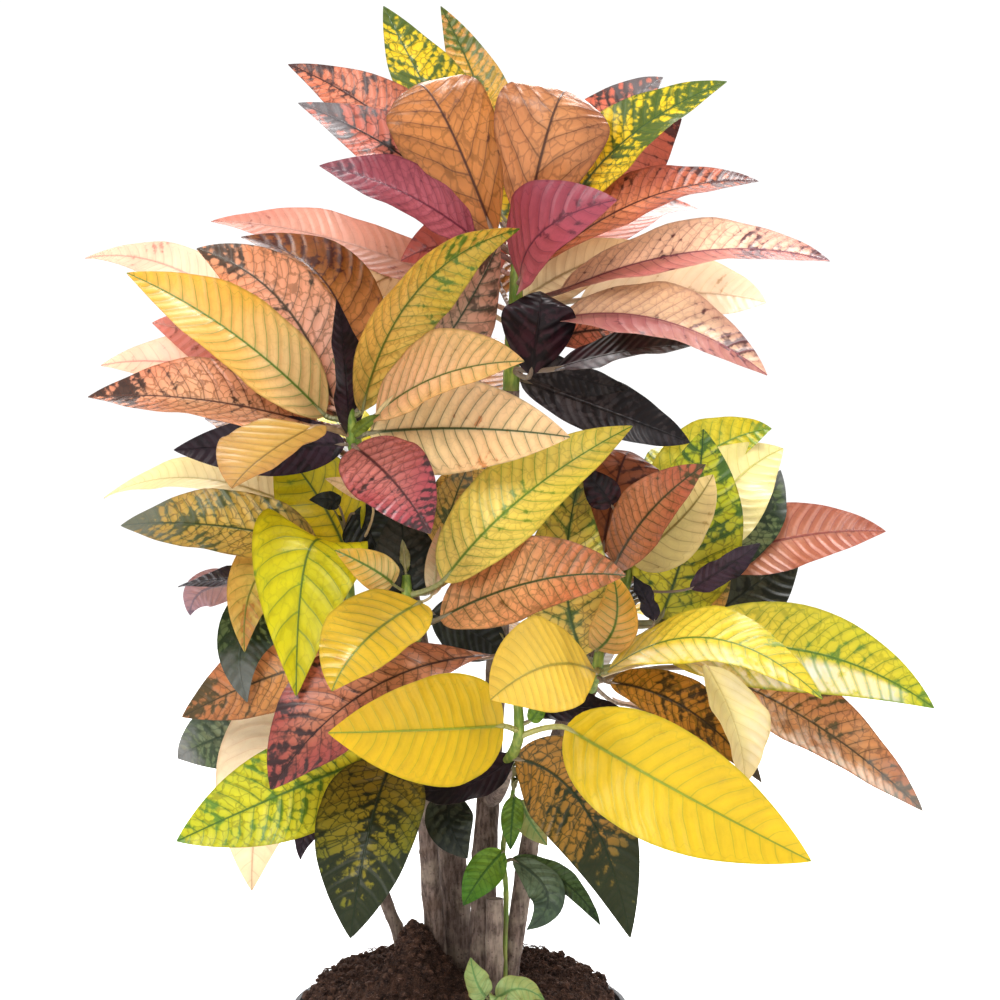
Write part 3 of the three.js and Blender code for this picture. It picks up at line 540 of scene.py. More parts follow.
# %% [markdown]
# ## The leaf's finish
# A croton leaf is leathery and glossy. Its midrib and side veins often keep their green while the
# ground between them turns yellow, orange or pink, and on younger leaves the green still spreads in
# blotches from the veins. Light also shines through it.
# Every vertex carries the leaf's own measures: how far across and along it lies, and the colours of
# that leaf. One finish can then draw all the leaves: the veins are lines in those measures, in real
# millimetres, and the blotches are noise that grows near the veins. The light that shines through has
# one tint for a whole skin, so there are five skins, and each leaf takes the one nearest its ground.

# %% Leaf finish
RIB_WIDTH = 1.15
VEIN_SLANT = 0.42
VEIN_CURVE = 0.3
VEIN_HALF = 0.34
BLOTCH_EDGE = 1.0
CELL_SCALE = 0.15
LEAF_SHINE = 0.27
COAT_ROUGHNESS = 0.16
LEAF_RELIEF = 0.0011
# The next two colours are painted reflections: a silvery grey on some tips and a pale sheen.
PAINTED_SILVER = "A6A3A6"
PAINTED_SHEEN = "F4EEDA"
UNDERSIDE = "DCC4AC"


def leaf_finish(name, glow, bend_of_light, coat):
    """One skin, for the leaves whose light from behind has this glow."""
    # Across the blade q runs from -1 to 1 and x in millimetres, along it t from 0 to 1 and y.
    made = Finish(name)
    q, t, upper = made.reading("blade").split()
    x, y, spacing = made.reading("span").split()
    amount, toward, veins = made.reading("traits").split()
    bright, clear, own = made.reading("extras").split()
    half, painted_silver_share, painted_sheen_side = made.reading("habit").split()
    seeded = made.point(x, y, own * 517.0)
    wobble = made.cloud(seeded, 0.035, 1.0)
    # The side veins leave the rib in turn on both sides, and slant and curve to loops at the margin.
    across = abs(x)
    reach = abs(q)
    sided = x.over(0.0) * 0.5
    slant = across * VEIN_SLANT + across * reach * VEIN_CURVE
    phase = (y - slant) / spacing + sided + wobble * 0.7
    gap = (0.5 - abs(phase.fraction() - 0.5)) * spacing * 0.9
    rib = 1.0 - across.step(0.35, (1.6 - t * 1.2) * RIB_WIDTH)
    side = (1.0 - gap.step(0.08, VEIN_HALF * (1.5 - reach) + 0.2)) * (1.0 - reach.step(0.8, 0.94))
    loop = abs(reach - 0.84 - (phase * 6.2832).wave() * 0.05)
    line = side.highest((1.0 - loop.step(0.004, 0.022)) * 0.4)
    # The net between them, and the blotches that grow near the veins and towards the tip.
    patch = made.cloud(seeded, 0.05, 4.0, 0.66)
    pushed = {0: x + patch * 16.0, 1: y - patch * 12.0, 2: own * 517.0}
    edge = made.cells(made.node("ShaderNodeCombineXYZ", {}, pushed), CELL_SCALE)
    net = (1.0 - edge.step(0.01, 0.1)) * (amount.step(0.0, 0.34) * 0.62 + 0.1)
    cell = 1.0 - edge.step(0.02, 0.42)
    near = (1.0 - gap.step(0.2, 3.2)).highest(1.0 - across.step(0.6, 4.0))
    broad = made.cloud(seeded, 0.018, 1.0)
    grow = amount * (1.0 + toward * (t * t * 1.7 - 0.75))
    spread = patch * 1.05 + broad * 0.4 + cell * 0.13 + near * 0.1 + grow * 0.85 - 0.16
    blotch = spread.step(BLOTCH_EDGE - 0.06, BLOTCH_EDGE + 0.07) * amount.step(0.0, 0.04)
    # The ground turns to the tip's colour, and the marks are laid on it one by one.
    lower = (q * half).step(-0.04, 0.08) * abs(half)
    turn = t * 0.9 + reach * 0.25 + (broad - 0.5) * 0.9 - abs(half) * 0.25
    turn = turn.step(0.2, 1.05).highest(lower)
    vein = made.reading("vein", "Color")
    ground = made.mix(turn, made.reading("ground", "Color"), made.reading("far", "Color"))
    ground = made.mix(near * veins * 0.22, ground, vein)
    shade = made.mix(net * veins, ground, vein)
    shade = made.mix(blotch * 0.94, shade, made.reading("patch", "Color"))
    shade = made.mix(line * veins * 0.7, shade, vein)
    shade = made.mix(rib * veins.step(0.0, 0.8) * 0.96, shade, vein)
    shade = made.mix(reach.step(0.93, 1.0) * 0.5, shade, vein)
    # Some tips turn a silvery grey, a painted reflection of the bright surround.
    painted_silver_tip = (t + (patch - 0.5) * 0.8).step(0.62, 0.9) * painted_silver_share
    shade = made.mix(painted_silver_tip, shade, colour(PAINTED_SILVER))
    # The painted pale sheen, a reflection laid into the colour, the uneven tone along the veins, and the
    # duller underside.
    painted_sheen_window = 1.0 - (t - 0.48) * (t - 0.48) * 4.5
    band = (q * painted_sheen_side).step(0.06, 0.3) * (1.0 - reach.step(0.86, 1.0)) * (gap.step(0.2, 2.4) * 0.6 + 0.4)
    painted_sheen_mask = band * painted_sheen_window.step(0.0, 0.55) * patch.step(0.32, 0.5) * abs(painted_sheen_side)
    shade = made.mix(painted_sheen_mask * 0.82, shade, colour(PAINTED_SHEEN))
    streak = made.point(phase * 2.2, x * 0.06, own * 91.0)
    tone = (1.0 - patch) * 0.4 + made.cloud(streak, 1.0, 2.0) * 0.34 + 0.63
    shade = made.node("ShaderNodeVectorMath", {"operation": "SCALE"}, {0: shade, "Scale": tone * bright})
    pale = made.mix(0.3, shade, colour(UNDERSIDE))
    shade = made.mix(1.0 - upper.step(-0.2, 0.2), shade, pale)
    grain = made.cloud(seeded, 1.4, 1.0)
    height = gap.step(0.0, 3.6) * 0.8 - rib * 0.7 + grain * 0.1 + wobble * 0.5
    body = made.skin(
        Base_Color=shade,
        Roughness=LEAF_SHINE + grain * 0.14 + blotch * 0.03,
        Normal=made.relief(height, LEAF_RELIEF, 0.6),
        IOR=bend_of_light,
        Coat_Weight=coat,
        Coat_Roughness=COAT_ROUGHNESS,
    )
    through = made.node("ShaderNodeBsdfTranslucent", {}, {"Color": colour(glow)})
    share = clear * (1.0 - blotch * 0.75) * (1.0 - rib * 0.8) * (1.0 - line * veins * 0.6) * tone
    both = made.node("ShaderNodeMixShader", {}, {0: share, 1: body, 2: through})
    return made.done(both)


GLOWS = {
    "rose": ("E8AC98", 1.45, 0.2), "orange": ("F0BC88", 1.45, 0.2), "gold": ("F4DC4C", 1.45, 0.2),
    "pale": ("FCF0DC", 1.45, 0.2), "dark": ("6A6430", 1.34, 0.05),
}
LEAF_SKINS = {name: leaf_finish(f"leaf_skin_{name}", *values) for name, values in GLOWS.items()}
print("leaf skins", list(LEAF_SKINS))

# %% [markdown]
# ## The looks
# Each look is written as a grower would note it: the ground's colour near the stalk and near the tip,
# the veins' colour, the blotches' colour, how much of the blade the blotches cover, how far they
# gather towards the tip (0 is nowhere), how strongly the veins show and how clear the leaf is to light.
# A few looks have a habit too: the half that has the tip's colour all along (-1 is the lower half of a leaf
# that points right), how silvery its tip is, a painted grey reflection, and the half on which a painted
# pale sheen lies. That sheen is the light of the bright surround reflected on a bent blade, painted into
# the colour, because it stays where the blade bends.

# %% Looks of the leaves
LOOK_ROWS = """
salmon_dark E0A888 CC7C60 4A221A 32181A 0.28 0.9 0.9 0.4
salmon_black E8A488 C46C56 2A1612 1E1412 0.3 0.9 0.9 0.4
magenta B0606A 924650 5A2030 4A1A28 0.16 0.9 0.8 0.3
orange_brown C88652 7E4020 4A2818 4A2014 0.2 1.0 0.85 0.24
yellow_net F0D438 D0C030 3A5216 3E5614 0.34 0.4 1.0 0.4
orange_green DCB04C B8806C 4A5A20 566820 0.3 0.3 0.9 0.4
tan_orange D8A068 7C4226 4E2C1C 4C2818 0.18 1.0 0.85 0.26
salmon_red DC9480 BC6450 5E2018 4A1A14 0.18 0.9 0.7 0.4
salmon_maroon E89C78 A8584A 4A1A18 40181A 0.24 1.0 0.8 0.4
peach_pink F8DCB6 BC6672 7A3444 4A2028 0.2 1.0 0.8 0.45
cream_tan FAE8C4 F2D4A4 B89C64 C8A878 0.06 0.0 0.5 0.5
cream FFF6E4 FCECD2 D8C090 D8B890 0.06 0.5 0.4 0.55
peach F6DCBA AC6270 8A4450 4A2426 0.18 1.0 0.7 0.45
maroon_dark 3E1F28 2A161E 1A0E12 1A1014 0.3 0.0 0.5 0.04
black_grey 50484A 363234 1E1A1C 221E22 0.3 0.0 0.4 0.03
pink_pale F4D4CC EAB8B0 C88A78 C88A78 0.08 0.4 0.5 0.55
pink_red D88880 B85C54 8A3A38 8A3434 0.18 0.5 0.6 0.4
yellow F2E49C E6C84C 4E6E1A B89A30 0.04 0.4 1.0 0.5
peach_salmon F6D0AC E4A082 4A3A22 3E2C1C 0.24 1.0 0.9 0.4
purple_dark 47303C 2E1E28 20141C 1E141A 0.25 0.0 0.5 0.04
yellow_tip F0DA78 D2C440 5A701E 5A7A22 0.2 1.1 0.9 0.45
peach_orange F0D0A6 DEB880 4A5A22 9A6A3C 0.08 0.3 1.0 0.45
tan_peach F2DCB4 E6C290 2E4A1C C08454 0.06 0.6 1.0 0.45
red_pink C47C70 9C4452 4A1C20 2A1618 0.24 1.0 0.9 0.28
ochre C8A45C B48E48 7A5C22 A07436 0.06 0.2 0.8 0.3
salmon_tip F2CCB0 DE9E84 5A3220 30201A 0.24 1.1 1.0 0.4
pink EABEB4 CE968A B0786A 9A5A50 0.12 0.6 0.5 0.4
beige_pink E4CCAC CCA48C 3E4630 5A4638 0.2 0.6 1.0 0.4
olive_young 8A9440 6E7C30 4A5A20 4A5A24 0.2 0.0 0.5 0.3
yellow_gloss ECE068 D4C43C 5E7A24 7A8A2E 0.14 1.0 0.9 0.45
orange D8A878 B8744A 2E421C 7A5028 0.18 0.5 1.0 0.28
green_dark 46483A 34362A 1C2418 1A2016 0.3 0.0 0.6 0.05
black_green 2E3228 20221C 161812 181A14 0.3 0.0 0.4 0.03
ochre_yellow DCC248 CCAA34 6E7A2A B88A2E 0.06 0.2 0.9 0.4
olive_net D0BC64 A89A4C 3E4C20 4A5428 0.3 0.5 1.0 0.35
beige E8D4AC D8BC94 9A8A5A A08A5A 0.1 0.2 0.5 0.45
yellow_lime DEE434 C6D424 56701E 8AA024 0.1 0.3 1.0 0.5
yellow_pale E8E88C D8C868 7A7A2E B07A3A 0.12 0.9 0.8 0.45
green_mottled 8A9868 4E6040 2A3A22 2C3A26 0.4 0.3 0.8 0.1
orange_net E0AC6C C08450 4A3A1C 4E4220 0.2 0.6 1.0 0.34
mauve C8B0B4 A8909A 7A6470 7A6470 0.14 0.3 0.5 0.3
cream_pale F4ECB8 ECE0A4 C8BC78 D8C880 0.04 0.3 0.6 0.5
lime_net E0E84C BCCC3A 4E7020 5E8424 0.24 0.1 1.0 0.45
green_gold 94802E 5A6222 242F18 232A17 0.44 0.9 1.0 0.1
peach_pale FFF2DC FAE2C4 D0A480 D8B08C 0.08 0.3 0.5 0.55
green_silver 8E9A78 5A6A4C 36462C 36462C 0.4 0.2 0.7 0.1
rust B8704C 944C38 4A2018 4A241A 0.18 0.6 0.9 0.3
rust_green C88A60 AC6444 3E3A1C 4E4220 0.2 0.5 0.9 0.3
green_cells DCE052 B0C43C 34541E 40681C 0.27 0.2 1.0 0.4
salmon C08870 A4624E 8A443A 7A4234 0.1 0.9 0.8 0.22
tan_net E0C070 C0A454 4E5A22 6A6430 0.3 0.2 0.9 0.35
yellow_shine D8D454 BCC83C 5A7A22 6E8A2C 0.2 0.8 1.0 0.4
tan_brown D0A468 AA7848 4A3A20 4E4422 0.24 0.8 1.0 0.28
brown_net D0904C A06A34 3A2C16 3E3018 0.3 0.7 1.0 0.25
cream_gloss F2E6B8 E4D498 C8AE6C D0B070 0.06 0.4 0.5 0.45
yellow_tan F0DC70 E2C85C 9A8A2E C8A03E 0.04 0.3 0.7 0.5
mottled_yellow E8E07C C8CC54 3E5A24 5A7434 0.26 0.2 1.0 0.35
purple_black 30222C 221820 18101A 18121A 0.3 0.0 0.4 0.03
yellow_gold E6CE3C DEC038 7E9226 D8B428 0.03 0.3 0.62 0.5
green_orange A87834 605C28 28321A 262E18 0.44 0.9 1.0 0.12
red_long DA9C7C A0504A 3A1C16 2C1618 0.22 0.9 1.0 0.28
green_young 7C9A3A 5E7C2A 3E5A1E 3E5A20 0.2 0.0 0.6 0.3
green_bright 8AAA40 5E8A2C 3A5E1E 3E6420 0.2 0.2 0.7 0.3
green_gloss 5A7442 3C5230 24361C 28381E 0.24 0.2 0.6 0.1
green_grey 74826C 526249 364334 3C4A3A 0.2 0.2 0.6 0.2
green_pale ACCC8C 8EB070 5E7E40 6A8A4A 0.14 0.2 0.6 0.4
magenta_light BE6C74 9C4C5A 6A2C3C 5A2430 0.08 0.9 0.8 0.32
lime_soft E0E468 C8D048 6E9030 88A038 0.16 0.6 1.0 0.45
cream_soft EEE8B0 E2D890 B8B060 D0C070 0.04 0.3 0.8 0.45
yellow_tanned F4E8A8 E4D488 9A8A4A B89858 0.08 0.3 0.7 0.5
yellow_soft ECE880 D0CC50 5E7A24 6E8228 0.14 1.0 1.0 0.42
"""
LOOKS = {row.split()[0]: row.split()[1:] for row in LOOK_ROWS.strip().splitlines()}

# Each habit holds the half with the tip's colour, the share of a painted grey reflection on the tip, and
# the half that carries a painted pale sheen.
HABITS = {
    "peach_pink": (-1.0, 0.0, 0.0),
    "peach": (-1.0, 0.0, 0.0),
    "salmon_black": (0.0, 0.3, 0.0),
    "magenta": (0.0, 0.12, 0.0),
    "green_mottled": (0.0, 0.3, 0.0),
    "green_silver": (0.0, 0.5, 0.0),
    "tan_brown": (0.0, 0.25, -0.6),
    "olive_net": (0.0, 0.25, 0.0),
    "yellow_gloss": (0.0, 0.0, -0.7),
    "yellow_shine": (0.0, 0.0, -1.0),
    "cream_gloss": (0.0, 0.0, 0.6),
}

print("looks", len(LOOKS))

# %% [markdown]
# ## One leaf, modelled once
# Every leaf has the same make: a thin blade with a waved margin, and a stalk that runs on under the
# blade as its raised rib. So one leaf is modelled flat, as stock, and each leaf of the plant is a
# copy that is laid along its own rib line. The blade starts as a grid and gets its thickness from
# Solidify, and the stalk starts as a cylinder whose long edges are subdivided.

# %% Leaf stock
BLADE_ACROSS = 12
BLADE_ALONG = 30
STALK_SIDES = 7
STALK_RINGS = 26
BLADE_THICKNESS = 0.5
TIP_POWER = 0.95
BLADE_BELLY = 0.4
MARGIN_WAVE = 2.0
MARGIN_WAVES = 2.0
SMALL_WAVE = 0.5
SMALL_WAVES = 5.3


def blade_shape(t, belly):
    rise = TIP_POWER * belly / (1 - belly)
    top = belly ** rise * (1 - belly) ** TIP_POWER
    return t ** rise * (1 - t) ** TIP_POWER / top


def rod_stock(sides, rings, name):
    """A closed rod of unit radius from z 0 to 1, with evenly spaced rings."""
    bpy.ops.mesh.primitive_cylinder_add(vertices=sides, radius=1, depth=1, location=(0, 0, 0.5))
    rod = named(name)
    set_corners(rod, corners(rod) + np.array([0, 0, 0.5]))
    rod.location = (0, 0, 0)
    edit_mesh("EDGE", "DESELECT")
    leave_mesh()
    for edge in rod.data.edges:
        low, high = (rod.data.vertices[v].co.z for v in edge.vertices)
        edge.select = abs(high - low) > 0.5
    bpy.ops.object.mode_set(mode="EDIT")
    bpy.ops.mesh.subdivide(number_cuts=rings - 1)
    leave_mesh()
    bpy.ops.object.shade_smooth_by_angle(angle=math.radians(50))
    return rod


def leaf_stock():
    bpy.ops.mesh.primitive_grid_add(x_subdivisions=BLADE_ACROSS, y_subdivisions=BLADE_ALONG, size=2)
    blade = named("blade_stock")
    wall = blade.modifiers.new("wall", "SOLIDIFY")
    wall.thickness = 2
    wall.offset = 0
    apply_all(blade)
    bpy.ops.object.shade_smooth_by_angle(angle=math.radians(50))
    flat = corners(blade)
    even = (flat[:, 1] + 1) / 2
    flat[:, 1] = 0.55 * even + 0.45 * (0.5 - 0.5 * np.cos(np.pi * even))
    set_corners(blade, flat)
    note(blade, "make", "FLOAT_VECTOR", np.zeros((len(flat), 3)))
    stalk = rod_stock(STALK_SIDES, STALK_RINGS, "stalk_stock")
    note(stalk, "make", "FLOAT_VECTOR", np.ones((len(stalk.data.vertices), 3)))
    return joined([blade, stalk], "leaf_stock")


LEAF_STOCK = leaf_stock()
STOCK_PLACES = corners(LEAF_STOCK)
STOCK_KIND = np.zeros(len(STOCK_PLACES) * 3, dtype=np.float32)
LEAF_STOCK.data.attributes["make"].data.foreach_get("vector", STOCK_KIND)
IS_STALK = STOCK_KIND.reshape(-1, 3)[:, 0] > 0.5
LEAF_STOCK.data.attributes.remove(LEAF_STOCK.data.attributes["make"])
LEAF_STOCK.data.materials.append(LEAF_SKINS["gold"])
print("leaf stock", triangles(LEAF_STOCK), "triangles")

# %% [markdown]
# ## A leaf on its rib line
# The rib is a curve through the base, the middle and the tip. At each share of its length the blade
# spreads to both sides by its outline's half width, rises a little towards its margins, as a shallow
# trough, and waves there. The stalk comes from the shoot, a little below the leaf, and tapers under
# the blade to its tip.

# %% Laying a leaf
PETIOLE_RADIUS = 1.9
PETIOLE_SHARE = 0.036
VEIN_SPACING = 0.1
STALK_FREE = 0.35
STALK_TAPER = 0.8
STALK_END = 0.12
STALK_GREEN = "7C8434"
TROUGH_FLAT = 0.35
TROUGH_POWER = 1.6
THIN_MARGIN = 0.7
TINT_SPREAD = 0.1
PLAIN_HABIT = (0.0, 0.0, 0.0)


def leaf_of(base, middle, tip, width, roll, fold, facing, look, belly=BLADE_BELLY):
    return {
        "base": base, "middle": middle, "tip": tip, "width": width, "roll": roll, "fold": fold,
        "facing": facing, "look": look, "belly": belly,
    }


def near_leaf(row):
    words = row.split()
    look = words.pop(12)
    numbers = [float(word) for word in words]
    base, middle, tip = (seen(numbers[k:k + 3]) for k in (0, 3, 6))
    width, roll, fold = numbers[9], math.radians(numbers[10]), math.radians(numbers[11])
    return leaf_of(base, middle, tip, width, roll, fold, unit(EYE - middle), look, *numbers[12:])


def rib_frame(leaf, t):
    """Places on the rib at shares t, with the directions along, across and out of the blade."""
    base, middle, tip = leaf["base"], leaf["middle"], leaf["tip"]
    pull = 2 * middle - (base + tip) / 2
    chord = unit(tip - base)
    side = unit(np.cross(leaf["facing"], chord))
    face = np.cross(chord, side)
    across = side * math.cos(leaf["roll"]) + face * math.sin(leaf["roll"])
    rib, way = bow(base, pull, tip, t)
    along = unit(way)
    spread = unit(across - along * (along @ across)[:, None])
    return rib, along, spread, np.cross(along, spread)


def root_of(leaf, shoot):
    """Where the stalk leaves the shoot: a little below the place nearest to the leaf's base."""
    shares = np.linspace(0, 1, 41)
    places = np.array([point_on(shoot, s) for s in shares])
    gaps = np.linalg.norm(places - leaf["base"], axis=1)
    nearest = int(np.argmin(gaps))
    back = 0.3 * gaps[nearest] / length_of(places)
    return point_on(shoot, max(0.12, shares[nearest] - back)), gaps[nearest]


def apart(first, second):
    """How far apart two colours are, as they show."""
    return sum(abs(int(first[k:k + 2], 16) - int(second[k:k + 2], 16)) for k in (0, 2, 4))


def lay_blade(leaf, draw):
    """Places of the stock's blade on the rib, its shares across and along, and its reach across."""
    blade = STOCK_PLACES[~IS_STALK]
    q = blade[:, 0]
    t = 0.003 + 0.994 * np.clip(blade[:, 1], 0, 1)
    rib, along, spread, out = rib_frame(leaf, t)
    shape = blade_shape(t, leaf["belly"])
    half = leaf["width"] / 2 * shape
    size = np.abs(q)
    big = np.sin(2 * np.pi * MARGIN_WAVES * t + np.where(q > 0, 1.7, 0.0))
    small = np.sin(2 * np.pi * SMALL_WAVES * t + draw.uniform(0, 6.28) + q)
    lift = half * math.sin(leaf["fold"]) * (TROUGH_FLAT * size + (1 - TROUGH_FLAT) * size ** TROUGH_POWER)
    lift = lift + shape * size ** 2 * (MARGIN_WAVE * big + SMALL_WAVE * small)
    lift = lift + np.sign(blade[:, 2]) * BLADE_THICKNESS / 2 * (1 - THIN_MARGIN * size ** 6)
    spots = rib + spread * (q * half * math.cos(leaf["fold"]))[:, None] + out * lift[:, None]
    return spots, np.stack([q, t, np.sign(blade[:, 2])], axis=1), q * half


def lay_stalk(leaf, shoot):
    """Places of the stock's stalk, from the shoot to the blade and on under the rib, and its shares."""
    root, least = root_of(leaf, shoot)
    entry = rib_frame(leaf, np.array([0.004]))[1]
    bend = (leaf["base"] - entry[0] * 0.3 * least) * 0.8 + root * 0.2
    radius = min(PETIOLE_RADIUS, max(0.9, leaf["width"] * PETIOLE_SHARE))
    rod = STOCK_PLACES[IS_STALK]
    run = rod[:, 2] * (1 + STALK_FREE) - STALK_FREE
    free = run < 0
    w = np.clip((run + STALK_FREE) / STALK_FREE, 0, 1)
    curve, way = bow(root, bend, leaf["base"], w)
    heading = unit(way + entry * 1e-6)
    rib, along, spread, out = rib_frame(leaf, np.clip(run, 0.004, 0.97))
    blend = np.clip(run / 0.06, 0, 1)
    tapered = radius * np.clip(1 - run, 0, 1) ** STALK_TAPER * 0.8 + STALK_END
    girth = np.where(free, radius * (1.15 - 0.15 * w), radius * (1 - blend) + tapered * blend)
    centre = np.where(free[:, None], curve, rib - out * (girth * 0.85 * blend)[:, None])
    lead = np.where(free[:, None], heading, along)
    flank = unit(spread - lead * np.sum(lead * spread, axis=1)[:, None])
    top = np.cross(lead, flank)
    tube = centre + flank * (rod[:, 0] * girth)[:, None] + top * (rod[:, 1] * girth)[:, None]
    return tube, run


def lay_leaf(leaf, shoot, serial, draw):
    """A copy of the stock, laid on the leaf's rib and marked with its measures and colours."""
    count = len(STOCK_PLACES)
    places, shares, across = np.zeros((count, 3)), np.zeros((count, 3)), np.zeros(count)
    places[~IS_STALK], shares[~IS_STALK], across[~IS_STALK] = lay_blade(leaf, draw)
    places[IS_STALK], run = lay_stalk(leaf, shoot)
    shares[IS_STALK] = np.stack([0 * run, np.clip(run, 0, 1), 0 * run - 1], axis=1)
    piece = copy_of(LEAF_STOCK, f"leaf_{serial}")
    set_corners(piece, places * MM)
    length = np.linalg.norm(leaf["tip"] - leaf["base"])
    own = draw.random()
    along = shares[:, 1] * length
    along[IS_STALK] = run * length
    spacing = np.full(count, 3.0 + leaf["width"] * VEIN_SPACING)
    fields = LOOKS[leaf["look"]]
    amount, toward, veins, clear = (float(number) for number in fields[4:])
    skin = min(GLOWS, key=lambda name: apart(fields[0], GLOWS[name][0]))
    piece.data.materials[0] = LEAF_SKINS[skin]
    for layer, code in zip(("ground", "far", "vein", "patch"), fields):
        tint = np.tile(colour(code), (count, 1))
        if layer in ("ground", "far"):
            shift = np.array([draw.uniform(-1, 1) for _ in range(3)])
            tint[:, :3] *= 1 + TINT_SPREAD * shift * [0.5, 0.8, 1]
            tint[IS_STALK, :3] = tint[IS_STALK, :3] * 0.6 + np.array(colour(STALK_GREEN)[:3]) * 0.4
        note(piece, layer, "FLOAT_COLOR", tint)
    marks = {
        "blade": shares,
        "span": np.stack([across, along, spacing], axis=1),
        "habit": np.tile(HABITS.get(leaf["look"], PLAIN_HABIT), (count, 1)),
        "traits": np.tile([amount, toward, veins], (count, 1)),
        "extras": np.tile([draw.uniform(0.94, 1.06), clear, own], (count, 1)),
    }
    for mark, values in marks.items():
        note(piece, mark, "FLOAT_VECTOR", values)
    return piece


sample = near_leaf(LEAF_ROWS["head_top"].split("\n")[1])
print("the first leaf is", np.linalg.norm(sample["tip"] - sample["base"]).round(1), "mm long")

# %% [markdown]
# ## Leaves of the far side
# The plant has leaves all round. Each head's far leaves spread by the golden ratio over a fan, as a
# shoot sets its leaves in turn, the lowest and flattest first. They could be drawn by chance, but a
# rule keeps them clear of each other. Their looks repeat those of the head's near leaves.

# %% Far leaves
GOLDEN = 0.618034
FAR_STALK = 30
FAR_WIDTH = 0.4
FAR_ARCH = 0.11
FAR_ROLL = 22
FAR_FOLD = 0.24
UPWARD = np.array([0.0, 0.0, 1.0])
FAR_LOOKS = {
    "head_top": [
        "salmon_dark", "peach", "magenta", "orange_brown", "salmon_red", "yellow_net", "tan_orange",
    ],
    "head_left": ["purple_dark", "salmon_tip", "pink_pale", "peach_orange", "ochre"],
    "head_lower_left": ["green_mottled", "olive_net", "yellow_lime"],
    "head_right": ["green_dark", "salmon", "green_cells"],
    "head_lower_right": ["tan_brown"],
    "head_back_left": [
        "purple_dark", "tan_brown", "yellow", "salmon_tip", "olive_net", "peach_orange", "yellow_lime",
        "orange_brown",
    ],
    "head_back_right": [
        "green_dark", "brown_net", "yellow_gold", "salmon", "olive_net", "yellow_gloss", "green_cells",
    ],
}


def far_leaves(name, shoot, rule):
    count, turn, fan, low, high, reach = rule
    leaves = []
    for k in range(count):
        share = (0.5 + k * GOLDEN) % 1
        azimuth = math.radians(turn + fan * (2 * share - 1))
        level = k / (count - 1) if count > 1 else 0
        rise = math.radians(low + (high - low) * level)
        length = reach * (0.84 + 0.16 * ((0.3 + k * 0.382) % 1))
        aim = np.array([
            math.sin(azimuth) * math.cos(rise),
            math.cos(azimuth) * math.cos(rise),
            math.sin(rise),
        ])
        base = point_on(shoot, 0.1 + 0.85 * level) + aim * FAR_STALK
        tip = base + aim * length
        middle = (base + tip) / 2 + np.array([0, 0, FAR_ARCH * length])
        roll = math.radians(FAR_ROLL * math.sin(k * 2.1))
        look = FAR_LOOKS[name][k % len(FAR_LOOKS[name])]
        leaves.append(leaf_of(base, middle, tip, FAR_WIDTH * length, roll, FAR_FOLD, UPWARD, look))
    return leaves


print("far leaves", sum(rule[0] for rule in FAR_RULES.values()))

# %% [markdown]
# ## Bark and green shoots
# The old stems are grey-brown and rough, with paler streaks and a scar wherever a leaf has dropped.
# Near each head the stem is young and green, and turns to bark below. Both finishes read Object
# coordinates, so the streaks run up the standing stems.

# %% Bark and shoot finishes
def bark_finish():
    made = Finish("bark_skin")
    place = made.place()
    long_way = made.drawn_out(place, (1.0, 1.0, 0.22))
    streak = made.cloud(long_way, 420.0, 5.0, 0.65)
    broad = made.cloud(place, 45.0, 4.0, 0.6)
    pores = made.cells(place, 330.0, "F1")
    tone = made.mix(streak.step(0.32, 0.68), colour("46372F"), colour("85736A"))
    tone = made.mix(broad.step(0.45, 0.68) * 0.55, tone, colour("A89A8A"))
    tone = made.mix((1.0 - broad.step(0.3, 0.46)) * 0.5, tone, colour("5A4434"))
    tone = made.mix((1.0 - pores.step(0.1, 0.28)) * 0.5, tone, colour("3E2E27"))
    height = streak * 0.7 + broad * 0.5 + pores.step(0.05, 0.35) * 0.3
    normal = made.relief(height, 0.0012, 0.8)
    return made.done(made.skin(Base_Color=tone, Roughness=0.78, Normal=normal))


def shoot_finish():
    made = Finish("shoot_skin")
    place = made.place()
    long_way = made.drawn_out(place, (1.0, 1.0, 0.3))
    streak = made.cloud(long_way, 330.0, 4.0)
    broad = made.cloud(place, 30.0, 3.0)
    tone = made.mix(streak.step(0.35, 0.7), colour("5F7A2C"), colour("93A048"))
    tone = made.mix(broad.step(0.48, 0.7) * 0.6, tone, colour("7A6A40"))
    normal = made.relief(streak + broad * 0.5, 0.0006, 0.6)
    return made.done(made.skin(Base_Color=tone, Roughness=0.5, Normal=normal))


BARK_SKIN = bark_finish()
SHOOT_SKIN = shoot_finish()
print("finishes", BARK_SKIN.name, SHOOT_SKIN.name)

# %% [markdown]
# ## Rods along a run
# Stems and shoots are one kind of form: a round rod of changing girth along a line, a little knobbly.
# For each run a rod is modelled as stock and laid along it. Where a leaf has dropped, the surface swells
# into a scar, and the scars climb in a spiral, as the leaves did.

# %% Laying a rod
ROD_SIDES = 20
RING_STEP = 3.2
SCAR_STEP = 15.0
SCAR_TURN = 2.4
SCAR_HEIGHT = 3.4
SCAR_WIDTH = 4.2
SCAR_SWELL = 0.75
SCAR_GROOVE = 0.35
KNOBBLES = 0.07


